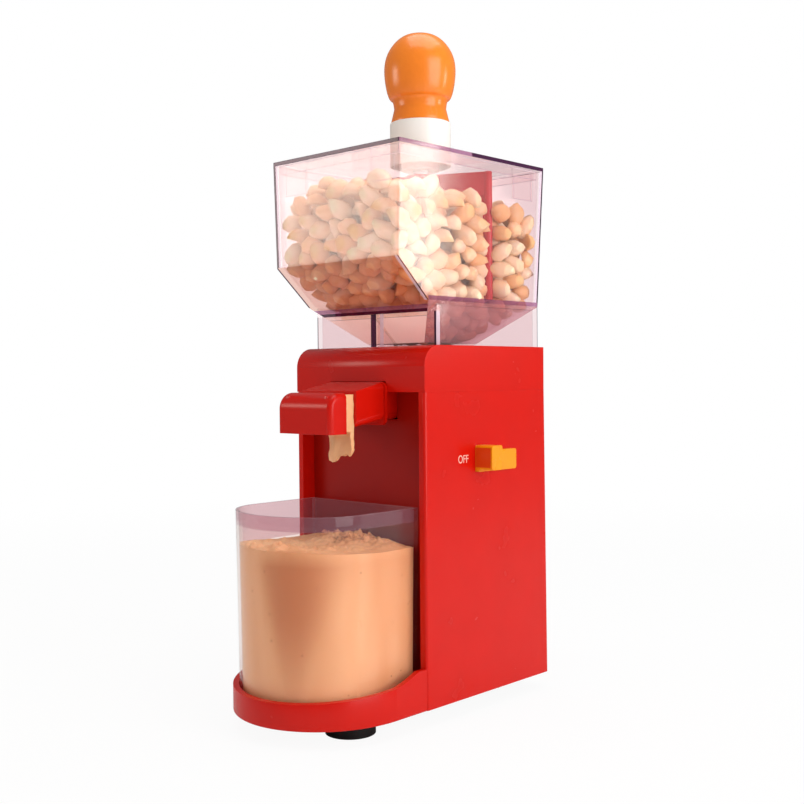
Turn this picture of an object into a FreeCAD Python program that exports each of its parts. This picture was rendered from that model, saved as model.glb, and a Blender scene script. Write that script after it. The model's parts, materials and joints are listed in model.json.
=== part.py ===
import FreeCAD, Part
import math
import os

from FreeCAD import Rotation, Vector

# Nut butter grinder, millimetres. +X is the switch side, -Y the front, +Z up.
# The model is built about the column: x = 0 on its mid-plane, y = 0 on its front
# face, z = 0 on the table. ORIGIN moves it to the centre of its footprint.

# --- driving dimensions: outer body ---
COLUMN_WIDTH = 110.0
COLUMN_DEPTH = 117.0
COLUMN_HEIGHT = 184.7
CAP_HEIGHT = 27.5
FOOT_HEIGHT = 10.0
WALL = 2.5
FRONT_EDGE_ROUND = 1.8
REAR_EDGE_ROUND = 2.0
REAR_DRAFT = 2.4
CAP_FRONT_ROUND = 12.4
CAP_EDGE_ROUND = 1.8
NICHE_DEPTH = 9.9
NICHE_LIP = 4.9

# --- tray in front of the column ---
TRAY_REACH = 83.4
TRAY_STRAIGHT = 25.5
TRAY_WALL = 3.5
TRAY_FLOOR_HEIGHT = 6.0
TRAY_FLOOR = 3.0
TRAY_BACK_RISE = 24.3
TRAY_MIDDLE_RISE = 18.4
TRAY_FRONT_RISE = 14.6
TRAY_SHOULDER = 7.0
TRAY_MIDDLE = 25.0
TRAY_BOTTOM_ROUND = 1.0
TRAY_BACK_RIM = 18.0
TRAY_HOLLOW_INSET = 9.0
TRAY_SCREW_INSET = 20.0
TRAY_SCREW_HEIGHT = 12.0
TRAY_KNEE_SAG = 0.6

# --- feet and fasteners ---
FOOT_RADIUS = 14.6
FOOT_STEM_RADIUS = 4.0
FOOT_FRONT_SIDE_INSET = 29.3
FOOT_FRONT_REACH = 33.4
FOOT_REAR_GAP = 7.2
FOOT_REAR_INSET = 22.0
SCREW_RADIUS = 1.5
SCREW_HEAD_RADIUS = 3.0
SCREW_HEAD = 2.0
SCREW_LENGTH = 14.0
BOSS_RADIUS = 4.0
BOSS_LENGTH = 12.0
BOSS_FRONT_Y = 20.0
BOSS_REAR_INSET = 10.0
FOOT_PAD_RADIUS = 8.0
FOOT_PAD = 3.5
FOOT_HOLLOW = 3.0
FOOT_LIP = 2.5
FOOT_STEM = 4.5
CAP_PILOT = 1.5

# --- hopper, lid and stirrer ---
HOPPER_HEIGHT = 116.1
RIM_SIDE_INSET = 0.6
RIM_FRONT = -18.9
RIM_BACK_OVERHANG = 1.0
KINK_HEIGHT = 50.1
KINK_FRONT = -18.5
FOLD_HEIGHT = 26.3
FOLD_SIDE_LEAN = 2.85
FOLD_BACK_LEAN = 3.2
MOUTH_SIDE = 21.8
MOUTH_FRONT = 22.4
MOUTH_BACK = 22.5
SKIRT_SIDE_INSET = 3.55
SKIRT_FRONT = 14.5
SKIRT_RIB = 2.0
HOPPER_ROUND = 1.0
HOPPER_WALL = 2.5
THROAT_RADIUS = 18.3
SPIGOT_WALL = 2.2
SPIGOT_LENGTH = 8.0
LID_THICKNESS = 2.5
LID_SKIRT = 5.3
LID_SKIRT_WALL = 1.6
LID_SKIRT_GAP = 0.45
LID_TAB_DROP = 19.3
LID_TAB_LENGTH = 20.0
LID_TAB_GAP = 0.9
LID_SIDE_TAB_INSET = 17.0
LID_FRONT_TAB_INSET = 16.9
COLLAR_RADIUS = 19.5
COLLAR_HEIGHT = 27.7
COLLAR_WALL = 2.2
COLLAR_SPIGOT_RADIUS = 12.0
STEM_RADIUS = 5.0
STEM_IN_KNOB = 22.0
KNOB_HEIGHT = 57.0
KNOB_RADIUS = 22.6
KNOB_WIDEST_HEIGHT = 27.9
KNOB_CROWN_RADIUS = 11.4
KNOB_CROWN_DROP = 2.1
KNOB_SHOULDER_RADIUS = 19.2
KNOB_SHOULDER_DROP = 9.8
KNOB_WAIST_RADIUS = 19.1
KNOB_WAIST_HEIGHT = 15.4
KNOB_NECK_RADIUS = 16.7
KNOB_NECK_HEIGHT = 9.0
KNOB_NECK_LEAN = 0.1
KNOB_FLANGE = 1.2
KNOB_FLANGE_RADIUS = 18.6
STIRRER_RADIUS = 44.5
STIRRER_BEAD_RADIUS = 2.5
STIRRER_ANGLE = 25.0
STIRRER_TOP_GAP = 3.0
STIRRER_DROP = 81.0
STIRRER_ARM_HEIGHT = 15.0
STIRRER_ARM_WALL = 3.0
STIRRER_FIN_WIDTH = 6.5
STIRRER_FIN_WALL = 1.4
STIRRER_HUB_RADIUS = 9.0

# --- cup ---
CUP_HEIGHT = 111.2
CUP_SIDE_GAP = 9.6
CUP_BACK = 4.0
CUP_STRAIGHT = 43.1
CUP_NOSE = 36.9
CUP_DRAFT = 1.5
CUP_WALL = 1.6
CUP_FLOOR = 3.0
CUP_FOOT_ROUND = 7.0

# --- spout ---
ARM_HALF = 23.5
ARM_TOP_RISE = 6.3
ARM_HEIGHT = 22.6
ARM_REACH = 24.4
ARM_TIP_DROP = 4.1
ARM_TIP_TOP_DROP = 5.4
ARM_WALL = 2.5
ARM_CORNER = 4.0
ARM_NECK_HALF = 14.0
COLLAR_PLATE_MARGIN = 1.6
COLLAR_PLATE_DROP = 3.4
COLLAR_PLATE = 1.6
HOOD_HALF = 22.8
HOOD_GAP = 7.0
HOOD_THICKNESS = 13.0
HOOD_HEIGHT = 23.9
HOOD_DROP = 3.4
HOOD_TOP_ROUND = 9.6
HOOD_SIDE_ROUND = 3.2
HOOD_WALL = 2.4
HOOD_RAIL_X = 15.0
HOOD_RAIL = 3.0

# --- grinding chamber ---
CHAMBER_RADIUS = 30.0
CHAMBER_WALL = 3.5
CHAMBER_FLOOR = 3.0
CHAMBER_FLANGE = 37.0
CHAMBER_FLANGE_THICKNESS = 3.0
CHAMBER_PORT_HALF = 11.5
BURR_LOW_RADIUS = 21.0
BURR_HIGH_RADIUS = 11.0
BURR_HEIGHT = 20.0
BURR_GAP = 0.6
WIPER_HEIGHT = 6.0
WIPER_THICKNESS = 4.0
AUGER_RADIUS = 16.5
AUGER_HUB_RADIUS = 6.5
AUGER_HEIGHT = 6.5
AUGER_VANE = 2.5
AUGER_VANES = 3
AUGER_SLANT = 35.0
BURR_FLUTES = 12
BURR_FLUTE = 1.6
BURR_FLUTE_DEPTH = 1.5
BURR_EDGE = 3.0
SPINDLE_RADIUS = 4.0
SEAL_RADIUS = 8.0

# --- gearbox and motor ---
GEAR_MODULE = 1.25
PINION_TEETH = 12
WHEEL_TEETH = 36
GEAR_WIDTH = 10.0
GEAR_BACKLASH = 0.18
WHEEL_ADDENDUM = 0.94
PINION_ADDENDUM = 1.25
GEAR_DEDENDUM = 1.56
FLANK_STEPS = 4
PRESSURE_ANGLE = 20.0
GEAR_CASE_WALL = 2.5
GEAR_CASE_HEIGHT = 24.0
GEAR_CASE_MARGIN = 4.5
GEAR_CASE_DROP = 12.0
GEAR_CASE_TAIL = 20.0
BUSH_RISE = 3.5
FRAME_BAR = 12.0
FRAME_FRONT_REACH = 29.0
FRAME_REAR_INSET = 17.0
SHELF_WIDTH = 6.5
SHELF_HEIGHT = 8.0
MOTOR_RADIUS = 22.0
MOTOR_LENGTH = 74.0
MOTOR_CAN_WALL = 1.6
MAGNET_THICKNESS = 4.5
MAGNET_LENGTH = 42.0
MAGNET_ARC = 130.0
ARMATURE_RADIUS = 14.6
ARMATURE_LENGTH = 38.0
ARMATURE_SLOTS = 8
ARMATURE_SLOT = 2.6
COMMUTATOR_RADIUS = 7.0
COMMUTATOR_LENGTH = 9.0
FAN_RADIUS = 19.0
FAN_HEIGHT = 4.5
FAN_BLADES = 9
FAN_BLADE = 1.4
SHAFT_RADIUS = 3.0
BUSH_RADIUS = 6.5
BUSH_LENGTH = 6.0
MOTOR_REAR_GAP = 3.5
CRADLE_HALF = 30.0
CRADLE_LEG = 3.0
CRADLE_LENGTH = 36.0

# --- switch, board and cord entry ---
SWITCH_HEIGHT = 136.0
SWITCH_BLOCK_RISE = 1.2
SWITCH_FRONT = 45.3
SWITCH_LENGTH = 36.0
SWITCH_BLOCK_LENGTH = 10.0
SWITCH_PROUD = 13.0
SWITCH_BLOCK_HEIGHT = 14.8
SWITCH_PLATE_PROUD = 3.5
SWITCH_PLATE_HEIGHT = 12.5
SWITCH_TRAVEL = 8.0
SWITCH_TONGUE_LENGTH = 8.0
SWITCH_TONGUE_HEIGHT = 4.0
SWITCH_TONGUE_FROM = 14.0
SWITCH_ROUND = 1.5
SWITCH_BODY_DEPTH = 14.0
SWITCH_BODY_HEIGHT = 20.0
SWITCH_BODY_LENGTH = 36.0
BOARD_LENGTH = 44.0
BOARD_HEIGHT = 36.0
BOARD_THICKNESS = 1.6
BOARD_STANDOFF = 4.0
BOARD_CHIP = 9.0
GLAND_RADIUS = 7.5
GLAND_BORE_RADIUS = 3.6
GLAND_PROUD = 4.0
GLAND_HEIGHT = 22.0
GLAND_FLANGE = 2.0
GLAND_DEPTH = 7.0
VENT_COUNT = 7
VENT_PITCH = 7.0
VENT_WIDTH = 34.0
VENT_SLOT = 3.0
VENT_HEIGHT = 55.0

# --- fits ---
RUNNING_FIT = 0.05
LOOSE_FIT = 0.3
PRESS_FIT = 0.02
ASSEMBLY_GAP = 0.2

# --- levels and places that follow from the sizes above ---
BASE_Z = FOOT_HEIGHT
SEAM_Z = BASE_Z + COLUMN_HEIGHT
CAP_TOP_Z = SEAM_Z + CAP_HEIGHT
LID_TOP_Z = CAP_TOP_Z + HOPPER_HEIGHT
RIM_Z = LID_TOP_Z - LID_THICKNESS
KINK_Z = CAP_TOP_Z + KINK_HEIGHT
FOLD_Z = CAP_TOP_Z + FOLD_HEIGHT
FUNNEL_FLOOR_Z = CAP_TOP_Z + HOPPER_WALL
TRAY_FLOOR_Z = BASE_Z + TRAY_FLOOR_HEIGHT
COLLAR_TOP_Z = LID_TOP_Z + COLLAR_HEIGHT
KNOB_BASE_Z = COLLAR_TOP_Z + ASSEMBLY_GAP
HALF_WIDTH = COLUMN_WIDTH / 2
WHEEL_RADIUS = GEAR_MODULE * WHEEL_TEETH / 2
PINION_RADIUS = GEAR_MODULE * PINION_TEETH / 2
MOTOR_Y = COLUMN_DEPTH - WALL - MOTOR_REAR_GAP - MOTOR_RADIUS
AXIS_Y = MOTOR_Y - WHEEL_RADIUS - PINION_RADIUS
RIM_WIDTH = COLUMN_WIDTH - 2 * RIM_SIDE_INSET
RIM_BACK = COLUMN_DEPTH + RIM_BACK_OVERHANG
FOLD_WIDTH = RIM_WIDTH - 2 * FOLD_SIDE_LEAN
FOLD_BACK = RIM_BACK - FOLD_BACK_LEAN
SKIRT_WIDTH = COLUMN_WIDTH - 2 * SKIRT_SIDE_INSET
LID_SIDE_TAB_Y = RIM_BACK - LID_SIDE_TAB_INSET
LID_FRONT_TAB_X = LID_FRONT_TAB_INSET - RIM_WIDTH / 2
CUP_RIM_HALF = HALF_WIDTH - CUP_SIDE_GAP
TRAY_SCREW_X = HALF_WIDTH - TRAY_SCREW_INSET
FOOT_FRONT_X = HALF_WIDTH - FOOT_FRONT_SIDE_INSET
FOOT_REAR_X = FOOT_RADIUS + FOOT_REAR_GAP / 2
FOOT_FRONT_Y = -FOOT_FRONT_REACH
FOOT_REAR_Y = COLUMN_DEPTH - FOOT_REAR_INSET
BOSS_REAR_Y = COLUMN_DEPTH - BOSS_REAR_INSET
FRAME_REAR_Y = COLUMN_DEPTH - FRAME_REAR_INSET
FRAME_FRONT_Y = AXIS_Y - FRAME_FRONT_REACH
NICHE_HALF = HALF_WIDTH - NICHE_LIP
BACK_WALL_Y = NICHE_DEPTH + WALL
ARM_TOP_Z = SEAM_Z + ARM_TOP_RISE
ARM_LOW_Z = ARM_TOP_Z - ARM_HEIGHT
CHAMBER_FLOOR_Z = ARM_LOW_Z + ARM_WALL
CHAMBER_TOP_Z = CAP_TOP_Z - WALL
CHAMBER_LOW_Z = CHAMBER_FLOOR_Z - CHAMBER_FLOOR
CHAMBER_INNER = CHAMBER_RADIUS - CHAMBER_WALL
BURR_LOW_Z = CHAMBER_FLOOR_Z + ASSEMBLY_GAP + WIPER_HEIGHT
BURR_TOP_Z = BURR_LOW_Z + BURR_HEIGHT
GEAR_CASE_TOP_Z = CHAMBER_LOW_Z - GEAR_CASE_DROP
GEAR_CASE_LOW_Z = GEAR_CASE_TOP_Z - GEAR_CASE_HEIGHT
GEAR_LOW_Z = (GEAR_CASE_TOP_Z + GEAR_CASE_LOW_Z - GEAR_WIDTH) / 2
MOTOR_TOP_Z = GEAR_CASE_LOW_Z
MOTOR_LOW_Z = MOTOR_TOP_Z - MOTOR_LENGTH
SWITCH_LOW_Z = BASE_Z + SWITCH_HEIGHT
GLAND_Z = BASE_Z + GLAND_HEIGHT
SWITCH_Z = SWITCH_LOW_Z + SWITCH_PLATE_HEIGHT / 2
GLAND_SEAT_Y = COLUMN_DEPTH + REAR_DRAFT * (SEAM_Z - GLAND_Z + GLAND_RADIUS) / COLUMN_HEIGHT
ORIGIN = Vector(SWITCH_PROUD / 2, (GLAND_SEAT_Y + GLAND_PROUD - TRAY_REACH) / 2, 0)


# --- shape helpers ---
def box(x0, x1, y0, y1, z0, z1):
    """A box between two corners."""
    return Part.makeBox(x1 - x0, y1 - y0, z1 - z0, Vector(x0, y0, z0))


def cylinder(radius, z0, z1, x=0.0, y=0.0):
    """An upright cylinder."""
    return Part.makeCylinder(radius, z1 - z0, Vector(x, y, z0))


def tube(outer, inner, z0, z1, x=0.0, y=0.0):
    """An upright tube."""
    return cylinder(outer, z0, z1, x, y).cut(cylinder(inner, z0, z1, x, y))


def cylinder_y(radius, y0, y1, x, z):
    """A cylinder along Y."""
    return Part.makeCylinder(radius, y1 - y0, Vector(x, y0, z), Vector(0, 1, 0))


def polygon_face(points):
    """A flat face inside a closed run of points."""
    return Part.Face(Part.makePolygon([Vector(*p) for p in points + points[:1]]))


def side_prism(points, half_width):
    """A (y, z) outline carried across X, both sides of the mid-plane."""
    face = polygon_face([(-half_width, y, z) for y, z in points])
    return face.extrude(Vector(2 * half_width, 0, 0))


def front_prism(points, y0, y1):
    """An (x, z) outline carried along Y."""
    return polygon_face([(x, y0, z) for x, z in points]).extrude(Vector(0, y1 - y0, 0))


def nose_wire(half_width, back, straight, nose, z):
    """Straight sides from y = back to y = -straight, closed in front by half an ellipse."""
    left = Vector(-half_width, -straight, z)
    right = Vector(half_width, -straight, z)
    centre = Vector(0, -straight, z)
    if nose > half_width:
        ellipse = Part.Ellipse(Vector(0, nose - straight, z), left, centre)
    else:
        ellipse = Part.Ellipse(right, Vector(0, nose - straight, z), centre)
    front = Part.ArcOfEllipse(ellipse, ellipse.parameter(left), ellipse.parameter(right))
    corners = [right, Vector(half_width, back, z), Vector(-half_width, back, z), left]
    sides = [Part.LineSegment(a, b).toShape() for a, b in zip(corners, corners[1:])]
    return Part.Wire([front.toShape()] + sides)


def nose_prism(half_width, back, straight, nose, z0, z1):
    """A solid of that outline between two levels."""
    wire = nose_wire(half_width, back, straight, nose, z0)
    return Part.Face(wire).extrude(Vector(0, 0, z1 - z0))


def turned(shape, angle, y=0.0):
    """The shape turned about the upright axis through (0, y)."""
    copy = shape.copy()
    copy.rotate(Vector(0, y, 0), Vector(0, 0, 1), angle)
    return copy


def ring_of(shape, count, y, start=0.0):
    """Copies of a shape evenly spaced about the upright axis through (0, y)."""
    return [turned(shape, start + 360.0 * i / count, y) for i in range(count)]


def edges_along(shape, direction, keep):
    """Straight edges parallel to a direction whose middle passes the test."""
    found = []
    for edge in shape.Edges:
        start, end = edge.firstVertex().Point, edge.lastVertex().Point
        run = end - start
        if run.Length < 1e-6 or abs(run.normalize().dot(direction)) < 0.98:
            continue
        if keep(edge.BoundBox.Center):
            found.append(edge)
    return found


def fuse(shapes):
    """One solid from several that touch or overlap."""
    return shapes[0].multiFuse(shapes[1:]).removeSplitter()


def mirrored_pair(shape):
    """The shape and its mirror image across the mid-plane."""
    return [shape, shape.mirror(Vector(0, 0, 0), Vector(1, 0, 0))]


X_AXIS = Vector(1, 0, 0)
Y_AXIS = Vector(0, 1, 0)
Z_AXIS = Vector(0, 0, 1)
INNER_HALF = HALF_WIDTH - WALL
BOSS_X = INNER_HALF - BOSS_RADIUS + ASSEMBLY_GAP
CORNERS = [(x, y) for x in (-BOSS_X, BOSS_X) for y in (BOSS_FRONT_Y, BOSS_REAR_Y)]
FRAME_X = INNER_HALF - SHELF_WIDTH / 2
FRAME_CORNERS = [(x, y) for x in (-FRAME_X, FRAME_X) for y in (FRAME_FRONT_Y, FRAME_REAR_Y)]


# --- column, cap, tray and feet ---
def bosses(z0, z1):
    """Four corner screw bosses with their pilot holes."""
    return [tube(BOSS_RADIUS, SCREW_RADIUS + PRESS_FIT, z0, z1, x, y) for x, y in CORNERS]


def switch_slot():
    """Slot in the side wall that the slider's tongue runs in."""
    y0 = SWITCH_FRONT + SWITCH_TONGUE_FROM - LOOSE_FIT
    y1 = y0 + SWITCH_TONGUE_LENGTH + SWITCH_TRAVEL + 2 * LOOSE_FIT
    half = SWITCH_TONGUE_HEIGHT / 2 + LOOSE_FIT
    return box(INNER_HALF - 1, HALF_WIDTH + 1, y0, y1, SWITCH_Z - half, SWITCH_Z + half)


def column_block(half, y0, inset):
    """Column from the tray to the seam, its rear face leaning out towards the base."""
    back = COLUMN_DEPTH - inset
    outline = [(y0, BASE_Z), (back + REAR_DRAFT, BASE_Z), (back, SEAM_Z), (y0, SEAM_Z)]
    return side_prism(outline, half)


def rear_vents():
    """Row of cooling slots through the rear wall."""
    y0, y1 = COLUMN_DEPTH - WALL - 1, COLUMN_DEPTH + REAR_DRAFT + 1
    slot = box(-VENT_WIDTH / 2, VENT_WIDTH / 2, y0, y1, 0, VENT_SLOT)
    base = BASE_Z + VENT_HEIGHT
    return [slot.translated(Vector(0, 0, base + i * VENT_PITCH)) for i in range(VENT_COUNT)]


def arm_opening(margin):
    """Way through the walls for the root of the spout arm."""
    half = ARM_HALF + margin
    return box(-half, half, -1, BACK_WALL_Y + 1, ARM_LOW_Z - margin, ARM_TOP_Z + margin)


def make_main_housing():
    """Column shell: two sides with front lips and a rear wall, screw bosses and shelves inside."""
    outer = column_block(HALF_WIDTH, 0, 0)
    outer = outer.makeFillet(FRONT_EDGE_ROUND, edges_along(outer, Z_AXIS, lambda c: c.y < 1))
    outer = outer.makeFillet(REAR_EDGE_ROUND, edges_along(outer, Z_AXIS, lambda c: c.y > COLUMN_DEPTH - 1))
    inner = column_block(INNER_HALF, NICHE_DEPTH, WALL)
    niche = box(-NICHE_HALF, NICHE_HALF, -1, NICHE_DEPTH + 1, BASE_Z, SEAM_Z)
    shell = outer.cut(inner).cut(niche)
    cover_z = BASE_Z + WALL
    added = bosses(SEAM_Z - BOSS_LENGTH, SEAM_Z) + bosses(cover_z, cover_z + BOSS_LENGTH)
    shelf = box(INNER_HALF - SHELF_WIDTH, INNER_HALF, -FRAME_BAR / 2, FRAME_BAR / 2, -SHELF_HEIGHT, 0)
    for y in (FRAME_FRONT_Y, FRAME_REAR_Y):
        added += mirrored_pair(shelf.translated(Vector(0, y, GEAR_CASE_LOW_Z)))
    shell = fuse([shell] + added)
    pilot = SCREW_RADIUS + PRESS_FIT
    holes = [cylinder(pilot, GEAR_CASE_LOW_Z - SHELF_HEIGHT, GEAR_CASE_LOW_Z, x, y) for x, y in FRAME_CORNERS]
    holes.append(cylinder_y(GLAND_RADIUS - GLAND_FLANGE, COLUMN_DEPTH - WALL - 1, GLAND_SEAT_Y + 1, 0, GLAND_Z))
    return shell.cut(holes + [switch_slot()] + rear_vents())


def make_front_panel():
    """Panel behind the front lips: back of the niche, opening for the arm, tray screw holes."""
    half = INNER_HALF - ASSEMBLY_GAP
    panel = box(-half, half, NICHE_DEPTH, BACK_WALL_Y, BASE_Z, SEAM_Z)
    height = BASE_Z + TRAY_SCREW_HEIGHT
    holes = [cylinder_y(SCREW_RADIUS + PRESS_FIT, NICHE_DEPTH - 1, BACK_WALL_Y + 1, x, height)
             for x in (-TRAY_SCREW_X, TRAY_SCREW_X)]
    return panel.cut(holes + [arm_opening(ASSEMBLY_GAP)])


def make_top_cap():
    """Cap over the column: rounded front, throat hole, notch for the arm, sill over the niche."""
    outer = box(-HALF_WIDTH, HALF_WIDTH, 0, COLUMN_DEPTH, SEAM_Z, CAP_TOP_Z)
    outer = outer.makeFillet(CAP_FRONT_ROUND, edges_along(outer, X_AXIS, lambda c: c.y < 1 and c.z > SEAM_Z + 1))
    outer = outer.makeFillet(REAR_EDGE_ROUND, edges_along(outer, Z_AXIS, lambda c: c.y > COLUMN_DEPTH - 1))
    top = CAP_TOP_Z - WALL
    inner = box(-INNER_HALF, INNER_HALF, WALL, COLUMN_DEPTH - WALL, SEAM_Z, top)
    round_edges = edges_along(inner, X_AXIS, lambda c: c.y < WALL + 1 and c.z > SEAM_Z + 1)
    inner = inner.makeFillet(CAP_FRONT_ROUND - WALL, round_edges)
    sill = box(-INNER_HALF, INNER_HALF, WALL, BACK_WALL_Y, SEAM_Z, SEAM_Z + WALL)
    shell = fuse([outer.cut(inner), sill] + bosses(SEAM_Z, SEAM_Z + BOSS_LENGTH))
    throat = cylinder(THROAT_RADIUS + SPIGOT_WALL + LOOSE_FIT, top - 1, CAP_TOP_Z + 1, 0, AXIS_Y)
    screws = [cylinder(SCREW_RADIUS + PRESS_FIT, top - 1, top + CAP_PILOT, x, y) for x, y in chamber_corners()]
    return shell.cut([throat, arm_opening(ASSEMBLY_GAP)] + screws)


def tray_rim_cutter():
    """Everything above the tray's falling rim line, seen from the side."""
    back = BASE_Z + TRAY_BACK_RISE
    middle = Vector(0, -TRAY_MIDDLE, BASE_Z + TRAY_MIDDLE_RISE)
    front = Vector(0, -TRAY_REACH - 1, BASE_Z + TRAY_FRONT_RISE)
    shoulder = Vector(0, -TRAY_SHOULDER, back)
    knee = Vector(0, -(TRAY_SHOULDER + TRAY_MIDDLE) / 2, (back + middle.z) / 2 - TRAY_KNEE_SAG)
    curve = Part.BSplineCurve()
    curve.interpolate([shoulder, knee, middle])
    high = back + COLUMN_WIDTH
    corners = [middle, front, Vector(0, front.y, high), Vector(0, COLUMN_DEPTH, high),
               Vector(0, COLUMN_DEPTH, back), shoulder]
    lines = [Part.LineSegment(a, b).toShape() for a, b in zip(corners, corners[1:])]
    face = Part.Face(Part.Wire([curve.toShape()] + lines))
    return face.translated(Vector(-COLUMN_WIDTH, 0, 0)).extrude(Vector(2 * COLUMN_WIDTH, 0, 0))


def tray_feet():
    """Places of the two feet under the tray."""
    return [(-FOOT_FRONT_X, FOOT_FRONT_Y), (FOOT_FRONT_X, FOOT_FRONT_Y)]


def make_base_tray():
    """Tray that the cup stands in: falling rim, rounded underside, tongue in the column's niche."""
    nose = TRAY_REACH - TRAY_STRAIGHT
    top = BASE_Z + TRAY_BACK_RISE
    outer = nose_prism(HALF_WIDTH, 0, TRAY_STRAIGHT, nose, BASE_Z, top)
    lower = [e for e in outer.Edges if e.BoundBox.ZMax < BASE_Z + 1 and e.BoundBox.YMin < -1]
    outer = outer.makeFillet(TRAY_BOTTOM_ROUND, lower)
    pocket = nose_prism(HALF_WIDTH - TRAY_WALL, 1, TRAY_STRAIGHT, nose - TRAY_WALL, TRAY_FLOOR_Z, top + 1)
    inset = TRAY_HOLLOW_INSET
    hollow = nose_prism(HALF_WIDTH - inset, -inset, TRAY_STRAIGHT, nose - inset, BASE_Z, TRAY_FLOOR_Z - TRAY_FLOOR)
    shell = outer.cut(pocket).cut(hollow).cut(tray_rim_cutter())
    half = NICHE_HALF - ASSEMBLY_GAP
    back = NICHE_DEPTH
    tongue = box(-half, half, -1, back, BASE_Z, TRAY_FLOOR_Z)
    back_rim = box(-half, half, back - TRAY_WALL, back, BASE_Z, BASE_Z + TRAY_BACK_RIM)
    pads = [cylinder(FOOT_PAD_RADIUS, BASE_Z, TRAY_FLOOR_Z - 1, x, y) for x, y in tray_feet()]
    shell = fuse([shell, tongue, back_rim] + pads)
    stems = [foot_socket(x, y) for x, y in tray_feet()]
    height = BASE_Z + TRAY_SCREW_HEIGHT
    for x in (-TRAY_SCREW_X, TRAY_SCREW_X):
        stems.append(cylinder_y(SCREW_RADIUS + PRESS_FIT, back - TRAY_WALL, back + 1, x, height))
    return shell.cut(stems)


def foot_socket(x, y):
    """Blind hole that a foot's stem is pushed into."""
    return cylinder(FOOT_STEM_RADIUS + PRESS_FIT, BASE_Z, BASE_Z + FOOT_STEM + ASSEMBLY_GAP, x, y)


def make_foot(x, y):
    """Suction foot: hollow rubber disc with a stem."""
    disc = cylinder(FOOT_RADIUS, 0, FOOT_HEIGHT, x, y)
    disc = disc.makeChamfer(FOOT_LIP, [e for e in disc.Edges if e.BoundBox.ZMin > FOOT_HEIGHT - 1])
    hollow = Part.makeCone(FOOT_RADIUS - FOOT_LIP, 0, FOOT_HOLLOW, Vector(x, y, 0))
    stem = cylinder(FOOT_STEM_RADIUS, FOOT_HEIGHT - 1, FOOT_HEIGHT + FOOT_STEM, x, y)
    return fuse([disc.cut(hollow), stem])


def make_bottom_cover():
    """Plate that closes the column from below, with pads for the rear feet."""
    half = INNER_HALF - ASSEMBLY_GAP
    y0 = BACK_WALL_Y + ASSEMBLY_GAP
    y1 = COLUMN_DEPTH + REAR_DRAFT - WALL - ASSEMBLY_GAP
    plate = box(-half, half, y0, y1, BASE_Z, BASE_Z + WALL)
    pads = [cylinder(FOOT_PAD_RADIUS, BASE_Z, BASE_Z + WALL + FOOT_PAD, x, FOOT_REAR_Y)
            for x in (-FOOT_REAR_X, FOOT_REAR_X)]
    plate = fuse([plate] + pads)
    holes = [foot_socket(x, FOOT_REAR_Y) for x in (-FOOT_REAR_X, FOOT_REAR_X)]
    for x, y in CORNERS:
        holes.append(cylinder(SCREW_RADIUS + PRESS_FIT, BASE_Z, BASE_Z + WALL, x, y))
        holes.append(cylinder(SCREW_HEAD_RADIUS + ASSEMBLY_GAP, BASE_Z, BASE_Z + SCREW_HEAD, x, y))
    return plate.cut(holes)


def screws_up(places, head_z, length):
    """Screws driven upwards, head below."""
    found = []
    for x, y in places:
        head = cylinder(SCREW_HEAD_RADIUS, head_z, head_z + SCREW_HEAD, x, y)
        shank = cylinder(SCREW_RADIUS, head_z + SCREW_HEAD - ASSEMBLY_GAP, head_z + SCREW_HEAD + length, x, y)
        found.append(head.fuse(shank))
    return Part.makeCompound(found)


def screws_down(places, seat_z, length):
    """Screws driven downwards, head above the seat."""
    found = []
    for x, y in places:
        head = cylinder(SCREW_HEAD_RADIUS, seat_z, seat_z + SCREW_HEAD, x, y)
        shank = cylinder(SCREW_RADIUS, seat_z - length, seat_z + ASSEMBLY_GAP, x, y)
        found.append(head.fuse(shank))
    return Part.makeCompound(found)


def make_tray_screws():
    """Two screws from inside the column into the tray's back rim."""
    found = []
    for x in (-TRAY_SCREW_X, TRAY_SCREW_X):
        z = BASE_Z + TRAY_SCREW_HEIGHT
        head = cylinder_y(SCREW_HEAD_RADIUS, BACK_WALL_Y, BACK_WALL_Y + SCREW_HEAD, x, z)
        shank = cylinder_y(SCREW_RADIUS, NICHE_DEPTH - TRAY_WALL + 1, BACK_WALL_Y + ASSEMBLY_GAP, x, z)
        found.append(head.fuse(shank))
    return Part.makeCompound(found)


# --- hopper, lid and stirrer ---
def hopper_side_outline(top_z):
    """Hopper seen from the side: sloping front, funnel at the back, walls up to a level."""
    front_lean = (KINK_FRONT - RIM_FRONT) / (RIM_Z - KINK_Z)
    back_lean = (RIM_BACK - FOLD_BACK) / (RIM_Z - FOLD_Z)
    return [(AXIS_Y - MOUTH_FRONT, CAP_TOP_Z), (AXIS_Y + MOUTH_BACK, CAP_TOP_Z), (FOLD_BACK, FOLD_Z),
            (FOLD_BACK + back_lean * (top_z - FOLD_Z), top_z),
            (KINK_FRONT - front_lean * (top_z - KINK_Z), top_z), (KINK_FRONT, KINK_Z)]


def hopper_front_outline(top_z):
    """Hopper seen from the front: funnel sides, fold, walls leaning slightly outwards."""
    lean = (RIM_WIDTH - FOLD_WIDTH) / 2 / (RIM_Z - FOLD_Z)
    top_half = FOLD_WIDTH / 2 + lean * (top_z - FOLD_Z)
    right = [(MOUTH_SIDE, CAP_TOP_Z), (FOLD_WIDTH / 2, FOLD_Z), (top_half, top_z)]
    return right + [(-x, z) for x, z in reversed(right)]


def inset_face(points, distance):
    """Face inside a closed run of points, moved in by a distance all round."""
    wire = Part.makePolygon([Vector(*p) for p in points + points[:1]])
    if distance == 0:
        return Part.Face(wire)
    return Part.Face(wire.makeOffset2D(-distance, 2))


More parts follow.
